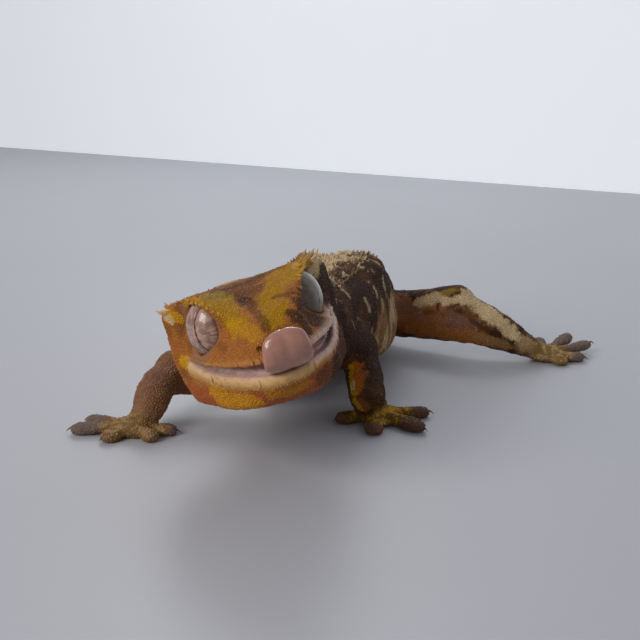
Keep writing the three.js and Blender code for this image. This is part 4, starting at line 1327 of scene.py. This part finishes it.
def thinned(places, spacing):
    """Numbers of the places that stay, no two nearer than the spacing."""
    cell = ((places - places.min(0)) / spacing).astype(np.int32) + 1
    size = cell.max(0) + 2
    key = (cell[:, 0] * size[1] + cell[:, 1]) * size[2] + cell[:, 2]
    steps = [(x * size[1] + y) * size[2] + z for x in (-1, 0, 1) for y in (-1, 0, 1) for z in (-1, 0, 1)]

    def clear(chosen, limit):
        """Which of the chosen places have none of the best ones nearer than the spacing."""
        free = np.ones(len(chosen), bool)
        for step in steps:
            other = best[key[chosen] + step]
            near = other < limit
            near[near] = np.linalg.norm(places[chosen[near]] - places[other[near]], axis=1) < spacing
            free &= ~near
        return free

    left, kept = np.arange(len(places)), []
    for _ in range(THINNING_ROUNDS):
        best = np.full(size.prod(), len(places), np.int32)
        np.minimum.at(best, key[left], left)
        picked = best[best < len(places)]
        picked = picked[clear(picked, picked)]
        kept.append(picked)
        best[:] = len(places)
        best[key[picked]] = picked
        left = left[clear(left, len(places))]
        if not len(left):
            break
    return np.concatenate(kept)


COAT = {
    "scales_head": (["head"], "head_scale"),
    "scales_neck": (["neck"], "body_scale"),
    "scales_trunk": (["torso"], "body_scale"),
    "scales_tail": (["tail"], "tail_scale"),
    "scales_arm_left": (["arm_left", "hand_left"], "limb_scale"),
    "scales_arm_right": (["arm_right", "hand_right"], "limb_scale"),
    "scales_leg_left": (["leg_left", "foot_left"], "limb_scale"),
    "scales_leg_right": (["leg_right", "foot_right"], "limb_scale"),
}
PIECE_SCALES = 10500

# A scale's rings, radius in spacings, height in radii, brightness, and the share and tint of pale painted
# glints
GRAIN_RINGS = [(1.0, -0.5), (0.86, 0.5)]
GRAIN = {"radius": (0.5, 0.62), "height": (0.45, 0.75), "bright": 1.08, "pale": 0.02, "tint": 0.22}


def build_scales():
    """Granular scales in a few pieces, each a low dome of its own brightness on the skin; a few are tinted
    pale as painted glints.
    """
    if not SKIN:
        raise RuntimeError("the skin comes before its scales")
    coat = bpy.context.scene.gecko_coat
    material = scale_material("scale_keratin", 0.46)
    template, faces = dome(5, GRAIN_RINGS)
    for seed, (name, (regions, size)) in enumerate(COAT.items()):
        spacing = getattr(coat, size) * 1000
        roots, normals = scattered(regions, spacing, SEED + seed)
        order = np.argsort(roots[:, 1] if "head" not in name else to_head(roots)[:, 0])
        parts = math.ceil(len(order) / PIECE_SCALES)
        for part, chosen in enumerate(np.array_split(order, parts)):
            random = np.random.default_rng(SEED + 100 * seed + part)
            at, out = roots[chosen], normals[chosen]
            across, aside = tangents(out, random.random(len(at)) * 2 * np.pi)
            radius = spacing * random.uniform(*GRAIN["radius"], (len(at), 1))
            height = radius * random.uniform(*GRAIN["height"], (len(at), 1))
            points, made = repeated(template, faces, at, across * radius, aside * radius, out * height)
            shade = GRAIN["bright"] + coat.spread * (random.random((len(at), 1)) - 0.5) * 2
            colour = np.clip(markings(at) * shade, 0, 1)
            # A few scales tinted pale: painted glints of light
            pale = random.random(len(at)) < GRAIN["pale"]
            colour = tinted(colour, palette()["cream"], GRAIN["tint"] * pale)
            label = name if parts == 1 else f"{name}_{part + 1}"
            make_piece(label, points, made, material, colour=np.repeat(colour, len(template), 0),
                       bake=bake_places(at, out, template))


def head_side(back, height):
    """Distance of the head's side from its middle, at stations and heights in its frame."""
    place = np.interp(back, HEAD_TUBE["back"], np.arange(len(HEAD_TUBE["back"])))
    middle = np.interp(back, HEAD_TUBE["back"], HEAD_TUBE["middle"][:, 1])
    x = np.full(len(back), 8.0)
    for _ in range(12):
        turn = np.arctan2(x, height - middle) / (2 * np.pi) * TUBE_AROUND
        radius = HEAD_TUBE["radius"][np.round(place).astype(int), np.round(turn).astype(int) % TUBE_AROUND]
        x = np.sqrt(np.maximum(radius**2 - (height - middle) ** 2, 0.01))
    return x


# Lip scales: their rings, half length in lengths, half thickness, how far they stand from the bare
# head, and for each lip the height of their middle over its edge and their half height
LIP_RINGS = [(1.0, -1.6), (0.93, 0.3), (0.6, 0.85)]
LIP_HALF_LENGTH, LIP_THICK, LIP_PROUD = 0.62, 0.04, 0.07
LIP_ROWS = {"upper": (0.62, 0.42), "lower": (-0.85, 0.6)}


def build_lips():
    """Lip scales: one row along each lip of both sides, squarish plates a little domed, larger in front."""
    coat = bpy.context.scene.gecko_coat
    length = coat.lip_scale * 1000
    random = np.random.default_rng(SEED + 50)
    template, faces = dome(12, LIP_RINGS)
    angle = np.arctan2(template[:, 1], template[:, 0])
    square = 1 / (np.abs(np.cos(angle)) ** 4 + np.abs(np.sin(angle)) ** 4) ** 0.25
    template = template * np.stack([square, square, np.ones(len(square))], 1)
    roots, normals, ahead, sizes = [], [], [], []
    back = np.linspace(-15.0, MOUTH_CORNER - 0.8, 200)
    for lip, sign in (("upper", -1), ("upper", 1), ("lower", -1), ("lower", 1)):
        above, half = LIP_ROWS[lip]
        edge = np.full(len(back), UPPER_LIP_Z)
        if lip == "lower":
            edge = lips(np.stack([sign * head_side(back, edge), back, back], 1))[1]
        height = edge + above
        side = head_side(back, height)
        path = np.stack([side, back, height], 1)
        run = np.concatenate([[0], np.cumsum(np.linalg.norm(np.diff(path, axis=0), axis=1))])
        at = np.arange(length / 2, run[-1], length)
        place = np.stack([np.interp(at, run, column) for column in path.T], 1)
        after = np.stack([np.interp(at + 0.3, run, column) for column in path.T], 1)
        heading = unit(after - place)
        out = unit(np.cross(heading, UP))
        share = at / run[-1]
        long = np.full(len(at), LIP_HALF_LENGTH * length)
        size = np.stack([long, half * (1 - 0.35 * share), np.full(len(at), LIP_THICK)], 1)
        mirror = np.array([sign, 1, 1])
        roots.append(from_head(place * mirror))
        ahead.append((heading * mirror) @ HEAD_TURN.T)
        normals.append((out * mirror) @ HEAD_TURN.T)
        sizes.append(size)
    roots, normals, ahead, sizes = (np.concatenate(part) for part in (roots, normals, ahead, sizes))
    roots = roots - normals * (head_shell(roots)[:, None] - LIP_PROUD)
    aside = np.cross(normals, ahead)
    points, made = repeated(
        template, faces, roots, ahead * sizes[:, :1], aside * sizes[:, 1:2], normals * sizes[:, 2:])
    shade = np.repeat(random.uniform(0.99, 1.02, (len(roots), 1)), len(template), 0)
    colour = np.clip(markings(points) * shade, 0, 1)
    make_piece("lip_scales", points, made, scale_material("lip_keratin", 0.34),
               colour=colour, bake=bake_places(roots, normals, template))


def trunk_top(rows, x):
    """Height of the back x to the side of the trunk's middle: the upper half of its squared ellipse."""
    middle, half = (rows[:, 3] + rows[:, 4]) / 2, (rows[:, 3] - rows[:, 4]) / 2
    return middle + half * (1 - np.abs(x / rows[:, 2]) ** TRUNK_SQUARE_ABOVE) ** (1 / TRUNK_SQUARE_ABOVE)


# Spines of each brow, each side of the nape and each edge of the back, and those strewn between the edges
BROW_SPINES, NAPE_SPINES, BACK_SPINES, STREWN_SPINES = 20, 10, 44, 420
SPINE_RINGS = [(0.9, -0.3), (1.0, 0.0), (0.78, 0.3), (0.45, 0.6), (0.18, 0.85)]
SPINE_BEND = 0.16

# White spines at the head's right corner, in its frame: root, length in tallest spines, radius
WHITE_SPINES = [
    ((-12.2, 5.4, 3.6), 1.485, 0.42),
    ((-12.5, 6.4, 3.2), 0.945, 0.34),
    ((-11.9, 4.5, 3.9), 0.7425, 0.3),
]
WHITE_LEAN = (-0.95, -0.05, 0.3)


def crest_roots():
    """Roots, leanings, lengths and radii of the crest's spines: over each brow to the back of the head,
    down the nape, along both edges of the back and strewn between them, each with a shorter one beside
    it. The white spines come last."""
    random = np.random.default_rng(SEED + 60)
    tall = bpy.context.scene.gecko_coat.crest_spine * 1000
    stretches = []
    for sign in (-1, 1):
        mirror = np.array([sign, 1, 1])
        f = np.linspace(0, 1, BROW_SPINES)
        rows = rows_at(HEAD, stations(HEAD, -8.0 + 20.5 * f))
        brow = from_head(rows[:, [2, 0, 3]] * mirror)
        lean = np.stack([0.9 + 0 * f, 0.25 + 0 * f, 0.3 + 0.4 * f], 1) * mirror @ HEAD_TURN.T
        long = tall * (0.3 + 0.75 * f**2 + (0.75 if sign > 0 else 0.0) * np.sin(np.pi * f))
        stretches.append((brow, lean, long, 0.28 if sign < 0 else 0.34))
        g = np.linspace(0.03, 0.96, BACK_SPINES)
        rows = rows_at(TRUNK, g)
        x = 6.6 * np.minimum(1, rows[:, 2] / 9.2)
        back = np.stack([rows[:, 1] + sign * x, rows[:, 0], trunk_top(rows, x)], 1)
        step = np.linspace(0, 1, NAPE_SPINES + 2)[1:-1, None]
        nape = brow[-1] * (1 - step) + back[0] * step
        for place, rear, long, radius in (
                (nape, 0.25, np.linspace(0.9, 0.7, NAPE_SPINES), 0.32),
                (back, 0.35, 0.5 + 0.5 * np.sin(np.pi * g), 0.3)):
            stretches.append((place, np.tile([0.5 * sign, rear, 1.0], (len(place), 1)), long, radius))
    rows = rows_at(TRUNK, random.uniform(0.0, 0.9, STREWN_SPINES))
    x = random.uniform(-1, 1, STREWN_SPINES) * np.minimum(6.4, 0.75 * rows[:, 2])
    strewn = np.stack([rows[:, 1] + x, rows[:, 0], trunk_top(rows, x)], 1)
    stretches.append((strewn, strewn * (0.05, 0, 0) + [0.0, 0.5, 1.0], np.full(STREWN_SPINES, 0.72), 0.24))
    roots, lean, long, thick = [], [], [], []
    for place, way, size, radius in stretches:
        for spread, share in ((0.1, 1.0), (0.4, 0.6)):
            shift = random.normal(0, spread, place.shape)
            roots.append(place + shift)
            lean.append(unit(way) + random.normal(0, 0.12, way.shape))
            long.append(size * share * random.uniform(0.7, 1.15, len(size)))
            thick.append(np.full(len(size), radius * (0.7 + 0.3 * share)))
    place, size, radius = zip(*WHITE_SPINES)
    roots.append(from_head(place))
    lean.append(np.tile(np.array(WHITE_LEAN) @ HEAD_TURN.T, (len(place), 1)))
    long.append(np.array(size) * tall)
    thick.append(np.array(radius))
    return np.concatenate(roots), unit(np.concatenate(lean)), np.concatenate(long), np.concatenate(thick)


BATCH = 200


def onto_skin(points):
    """The skin's point nearest to each of a few points, sought among every second one in batches, and
    its normal."""
    place, normal = np.empty_like(points), np.empty_like(points)
    for first in range(0, len(points), BATCH):
        part = slice(first, first + BATCH)
        away = ((points[part, None, :] - SKIN["points"][None, ::2]) ** 2).sum(-1)
        nearest = away.argmin(1) * 2
        place[part], normal[part] = SKIN["points"][nearest], SKIN["normals"][nearest]
    return place, normal


def build_crest():
    """Crest spines: narrow cones that bend back a little, pale at the tip, rooted in the skin."""
    if not SKIN:
        raise RuntimeError("the skin comes before its crest")
    roots, lean, long, thick = crest_roots()
    roots, normals = onto_skin(roots)
    template, faces = dome(7, SPINE_RINGS)
    way = unit(lean + 0.4 * normals)
    across, aside = tangents(way, np.zeros(len(way)))
    points, made = repeated(
        template, faces, roots, across * thick[:, None], aside * thick[:, None], way * long[:, None])
    height = np.tile(template[:, 2], len(roots))
    bend = np.repeat(long, len(template)) * SPINE_BEND * np.maximum(height, 0) ** 2
    points = points + bend[:, None] * np.array([0.0, 0.8, 0.3])
    base = np.repeat(markings(roots), len(template), 0)
    pale = np.where(base.sum(1) > 0.5 * palette()["cream"].sum(), 0.8, 0.3)
    pale[-len(WHITE_SPINES) * len(template):] = 1.0
    colour = tinted(base * 1.1, palette()["cream"], pale * eased(height * 1.3))
    make_piece("crest_spines", points, made, scale_material("crest_keratin", 0.42),
               colour=np.clip(colour, 0, 1), bake=bake_places(roots, way, template))


def lofted(rings, first, last):
    """Points and faces of a closed skin over rings of points, drawn together to an end point each way."""
    count, around = rings.shape[:2]
    points = np.concatenate([rings.reshape(-1, 3), [first], [last]])
    n = np.arange(around)
    m = (n + 1) % around
    rows = (np.arange(count - 1) * around)[:, None]
    quads = np.stack([n + rows, m + rows, m + rows + around, n + rows + around], -1).reshape(-1, 4)
    end = (count - 1) * around
    caps = [np.stack([m, n, np.full(around, count * around)], 1),
            np.stack([n + end, m + end, np.full(around, count * around + 1)], 1)]
    return points, [quads, np.concatenate(caps)]


# Eyes: points along and around each ball, and the slit on a ball of radius 1: the terms of the curve
# that it follows, half width, waves of its edges, middle and reach up and down, and the painted shade laid
# over the left eye's iris
EYE_ROWS, EYE_AROUND = 120, 220
SLIT = {"curve": (0.42, -0.05, 0.12), "half": 0.034, "wave": 0.012, "waves": 26, "at": -0.05, "reach": 0.84}
LEFT_EYE_PAINTED_SHADE = 0.8


def build_eyes():
    """Each eye is a squat ball: iris with fine veins running from a wavy upright slit, darker at its rim,
    with a painted highlight round the slit's middle and, on the left eye, painted shade.
    """
    tones = palette()
    # A brighter copy of the iris, used as a painted highlight
    tones["glow"] = tones["iris"] * 1.35
    material = eye_material()
    polar = np.linspace(0, np.pi, EYE_ROWS + 2)[1:-1, None]
    angle = np.linspace(0, 2 * np.pi, EYE_AROUND, endpoint=False)[None]
    flat = np.sin(polar)
    ball = np.stack([flat * np.cos(angle), flat * np.sin(angle), np.cos(polar) + 0 * angle], -1)
    first, second, third = SLIT["curve"]
    for sign, name, shade in ((-1, "eye_right", 0.0), (1, "eye_left", LEFT_EYE_PAINTED_SHADE)):
        s, u, out = np.moveaxis(ball, -1, 0)
        s = -sign * s
        curve = first + second * u + third * u**2
        wave = SLIT["wave"] * np.cos(u * SLIT["waves"])
        reach = np.clip(1 - ((u - SLIT["at"]) / SLIT["reach"]) ** 2, 0, 1)
        slit = eased((0.02 + (SLIT["half"] + wave) * reach - np.abs(s - curve)) / 0.03) * (reach > 0)
        away = np.hypot(s - curve, 0.8 * u)
        turn = np.arctan2(u, s - curve)
        lines = np.stack([turn * 5.0, away * 1.6, 0 * turn], -1)
        veins = 0.6 * noise(lines, 0.28, 20) + 0.4 * noise(ball, 0.16, 21)
        colour = layered(np.broadcast_to(tones["iris"], ball.shape), tones, [
            ("iris_vein", 0.8 * eased((veins - 0.42) * 5)),
            # Painted highlight round the slit's middle
            ("glow", 0.6 * eased((0.22 - away) / 0.15)),
            ("pupil", 0.8 * eased((0.45 - out) / 0.4)),
            # Painted shade over the whole iris of the left eye, which is turned from the light
            ("eye_shade", shade),
            ("pupil", slit),
        ]).reshape(-1, 3)
        size = np.array(EYE["radii"])
        centre = np.array([EYE_X[sign], EYE["y"], EYE["z"]])
        rings = from_head((ball * size) @ eye_axes(sign) + centre)
        poles = from_head((np.array([[0, 0, 1.0], [0, 0, -1.0]]) * size) @ eye_axes(sign) + centre)
        points, faces = lofted(rings, poles[0], poles[1])
        colour = np.concatenate([np.clip(colour, 0, 1), [tones["iris"], tones["pupil"]]])
        make_piece(f"{name}_ball", points, outward(points, faces), material, [name], colour)


def outward(points, faces):
    """The faces, turned over if they enclose a negative volume."""
    volume = 0.0
    for part in faces:
        a, b, c = (points[part[:, n]] for n in range(3))
        volume += np.einsum("ij,ij->i", a, np.cross(b, c)).sum()
        if part.shape[1] == 4:
            d = points[part[:, 3]]
            volume += np.einsum("ij,ij->i", a, np.cross(c, d)).sum()
    return faces if volume > 0 else [part[:, ::-1] for part in faces]


TONGUE_ROWS, TONGUE_AROUND = 56, 64
TIP_STARTS, TIP_LENGTH = 0.82, 0.18


def build_tongue():
    """The tongue: a broad strap from inside the mouth up over the snout's tip, with a shallow groove
    along its middle and a round end."""
    t = np.linspace(0, 1, TONGUE_ROWS)
    rows = rows_at(TONGUE, t)
    ahead = unit(np.gradient(rows[:, :3], axis=0))
    lift = unit(np.cross(np.array([1.0, 0, 0]), ahead))
    angle = np.linspace(0, 2 * np.pi, TONGUE_AROUND, endpoint=False)
    c, s = np.cos(angle), np.sin(angle)
    tip = np.sqrt(np.clip(1 - ((t - TIP_STARTS) / TIP_LENGTH).clip(0) ** 2, 0.0009, 1))[:, None]
    wide = rows[:, 3:4] * tip * np.sign(c) * np.abs(c) ** 0.85
    groove = 0.16 * np.exp(-((wide / 0.55) ** 2)) * (np.abs(s) > 0.3)
    thick = (rows[:, 4:5] * tip ** 0.7 * (1.0 - groove)) * np.sign(s) * np.abs(s) ** 0.95
    rings = rows[:, None, :3] + wide[..., None] * np.array([1.0, 0, 0]) + thick[..., None] * lift[:, None]
    end = rings[-1].mean(0) + 0.05 * ahead[-1]
    points, faces = lofted(from_head(rings), from_head(rows[0, :3]), from_head(end))
    make_piece("tongue_wet", points, outward(points, faces), tongue_material(), ["tongue"])


def build_claws():
    """Claws: slim horns that leave each toe's end level and bend down to a point."""
    points, faces, start = [], [], 0
    t = np.linspace(0, 1, 10)[:, None]
    angle = np.linspace(0, 2 * np.pi, 10, endpoint=False)
    for leg in LEGS.values():
        for x, y, lift in leg["toes"]:
            heading = unit(np.array([x - leg["palm"][0], y - leg["palm"][1], 0.0]))
            side = np.cross(heading, UP)
            root = np.array([x, y, CLAW["z"] + lift]) + CLAW["root"] * heading
            path = root + heading * CLAW["long"] * t
            path = path - UP * CLAW["drop"] * t**2 + UP * CLAW["arch"] * np.sin(np.pi * t)
            radius = CLAW["radius"] * (1 - t) ** 0.7 + 0.02
            ahead = unit(np.gradient(path, axis=0))
            over = np.cross(side, ahead)
            circle = np.cos(angle)[:, None] * side * 0.7 + np.sin(angle)[:, None] * over[:, None]
            ring = path[:, None] + radius[:, None] * circle
            some, made = lofted(ring, path[0], path[-1] + 0.05 * ahead[-1])
            made = outward(some, made)
            points.append(some)
            faces += [part + start for part in made]
            start += len(some)
    quads = np.concatenate([f for f in faces if f.shape[1] == 4])
    caps = np.concatenate([f for f in faces if f.shape[1] == 3])
    make_piece("claws", np.concatenate(points), [quads, caps], claw_material())


def flat_stage(name, corners, material):
    """A flat sheet of the stage."""
    mesh = bpy.data.meshes.new(name)
    mesh.from_pydata([tuple((np.array(p) + SHIFT * (1, 1, 0)) * 0.001) for p in corners], [], [(0, 1, 2, 3)])
    mesh.materials.append(material)
    sheet = bpy.data.objects.new(name, mesh)
    bpy.context.scene.collection.objects.link(sheet)


def soft_light(name, source, power):
    """A square area light that faces the animal."""
    light = bpy.data.lights.new(name, "AREA")
    light.size, light.energy, light.color = source["size"], power, source["tint"]
    lamp = bpy.data.objects.new(name, light)
    lamp.location = source["place"]
    lamp.rotation_euler = (Vector(LIGHT_AIM) - lamp.location).to_track_quat("-Z", "Y").to_euler()
    bpy.context.scene.collection.objects.link(lamp)


def build_stage():
    """Pale board, paler wall behind, even light, a window behind and above, the room's light in front,
    and the camera."""
    stage = bpy.context.scene.gecko_stage
    run = np.array(EDGE_RUN)
    left, right = np.array(FLOOR_EDGE) + [-run, run]
    flat_stage("floor", [(left[0], FLOOR_NEAR, 0), (right[0], FLOOR_NEAR, 0), (*right, 0), (*left, 0)],
               stage_material("painted_floor", np.array(stage.floor), 0.03, 0.45, 0.0))
    flat_stage("wall", [(*left, WALL_LOW), (*right, WALL_LOW), (*right, WALL_HIGH), (*left, WALL_HIGH)],
               stage_material("lit_paper_wall", np.array(stage.wall), 0.01, 0.9, stage.wall_glow))
    world = bpy.data.worlds.new("room")
    world.use_nodes = True
    back = world.node_tree.nodes["Background"]
    back.inputs["Color"].default_value = SKY_TINT
    back.inputs["Strength"].default_value = stage.sky
    bpy.context.scene.world = world
    soft_light("window", WINDOW, stage.window_power)
    soft_light("room_light", ROOM_LIGHT, stage.room_power)
    camera = bpy.data.cameras.new("camera")
    camera.lens, camera.sensor_width = CAMERA_LENS, CAMERA_SENSOR
    camera.clip_start, camera.clip_end = 0.01, 20
    holder = bpy.data.objects.new("camera", camera)
    holder.location = Vector((CAMERA_PLACE + SHIFT * (1, 1, 0)) * 0.001)
    holder.rotation_euler = Vector(CAMERA_AHEAD).to_track_quat("-Z", "Y").to_euler()
    bpy.context.scene.collection.objects.link(holder)
    bpy.context.scene.camera = holder
    bpy.context.scene.view_settings.view_transform = "Standard"


# Add-on classes

class GECKO_OT_skin(bpy.types.Operator):
    """Make the skin of the whole animal"""
    bl_idname = "gecko.skin"
    bl_label = "Skin"

    def execute(self, context):
        build_skin()
        return {"FINISHED"}


class GECKO_OT_scales(bpy.types.Operator):
    """Cover the skin with granular scales"""
    bl_idname = "gecko.scales"
    bl_label = "Scales"

    def execute(self, context):
        build_scales()
        return {"FINISHED"}


class GECKO_OT_lips(bpy.types.Operator):
    """Lay the scales of the lips"""
    bl_idname = "gecko.lips"
    bl_label = "Lip scales"

    def execute(self, context):
        build_lips()
        return {"FINISHED"}


class GECKO_OT_crest(bpy.types.Operator):
    """Plant the spines of the crest"""
    bl_idname = "gecko.crest"
    bl_label = "Crest"

    def execute(self, context):
        build_crest()
        return {"FINISHED"}


class GECKO_OT_eyes(bpy.types.Operator):
    """Make both eyes"""
    bl_idname = "gecko.eyes"
    bl_label = "Eyes"

    def execute(self, context):
        build_eyes()
        return {"FINISHED"}


class GECKO_OT_tongue(bpy.types.Operator):
    """Make the tongue"""
    bl_idname = "gecko.tongue"
    bl_label = "Tongue"

    def execute(self, context):
        build_tongue()
        return {"FINISHED"}


class GECKO_OT_claws(bpy.types.Operator):
    """Make the claws of all feet"""
    bl_idname = "gecko.claws"
    bl_label = "Claws"

    def execute(self, context):
        build_claws()
        return {"FINISHED"}


class GECKO_OT_stage(bpy.types.Operator):
    """Make the floor, wall, lights and camera"""
    bl_idname = "gecko.stage"
    bl_label = "Stage"

    def execute(self, context):
        build_stage()
        return {"FINISHED"}


OPERATORS = (
    GECKO_OT_stage, GECKO_OT_skin, GECKO_OT_scales, GECKO_OT_lips, GECKO_OT_crest, GECKO_OT_eyes,
    GECKO_OT_tongue, GECKO_OT_claws,
)
GROUPS = {
    "gecko_form": GeckoForm,
    "gecko_coat": GeckoCoat,
    "gecko_colours": GeckoColours,
    "gecko_stage": GeckoStage,
}
CLASSES = (*GROUPS.values(), *OPERATORS)


class GECKO_PT_panel(bpy.types.Panel):
    """Lists the animal's pieces and settings"""
    bl_idname = "GECKO_PT_panel"
    bl_label = "Crested gecko"
    bl_space_type = "VIEW_3D"
    bl_region_type = "UI"
    bl_category = "Gecko"

    def draw(self, context):
        for operator in OPERATORS:
            self.layout.operator(operator.bl_idname)
        for name, group in GROUPS.items():
            box = self.layout.box()
            for key in group.__annotations__:
                box.prop(getattr(context.scene, name), key)


def register():
    """Registers every class and puts the settings on the scene."""
    for cls in (*CLASSES, GECKO_PT_panel):
        bpy.utils.register_class(cls)
    for name, group in GROUPS.items():
        setattr(bpy.types.Scene, name, bpy.props.PointerProperty(type=group))


def unregister():
    """Takes the settings off the scene and unregisters every class."""
    for name in GROUPS:
        delattr(bpy.types.Scene, name)
    for cls in reversed((*CLASSES, GECKO_PT_panel)):
        bpy.utils.unregister_class(cls)


def main():
    """Makes every piece in order."""
    register()
    for operator in OPERATORS:
        group, name = operator.bl_idname.split(".")
        getattr(getattr(bpy.ops, group), name)()


if __name__ == "__main__":
    main()
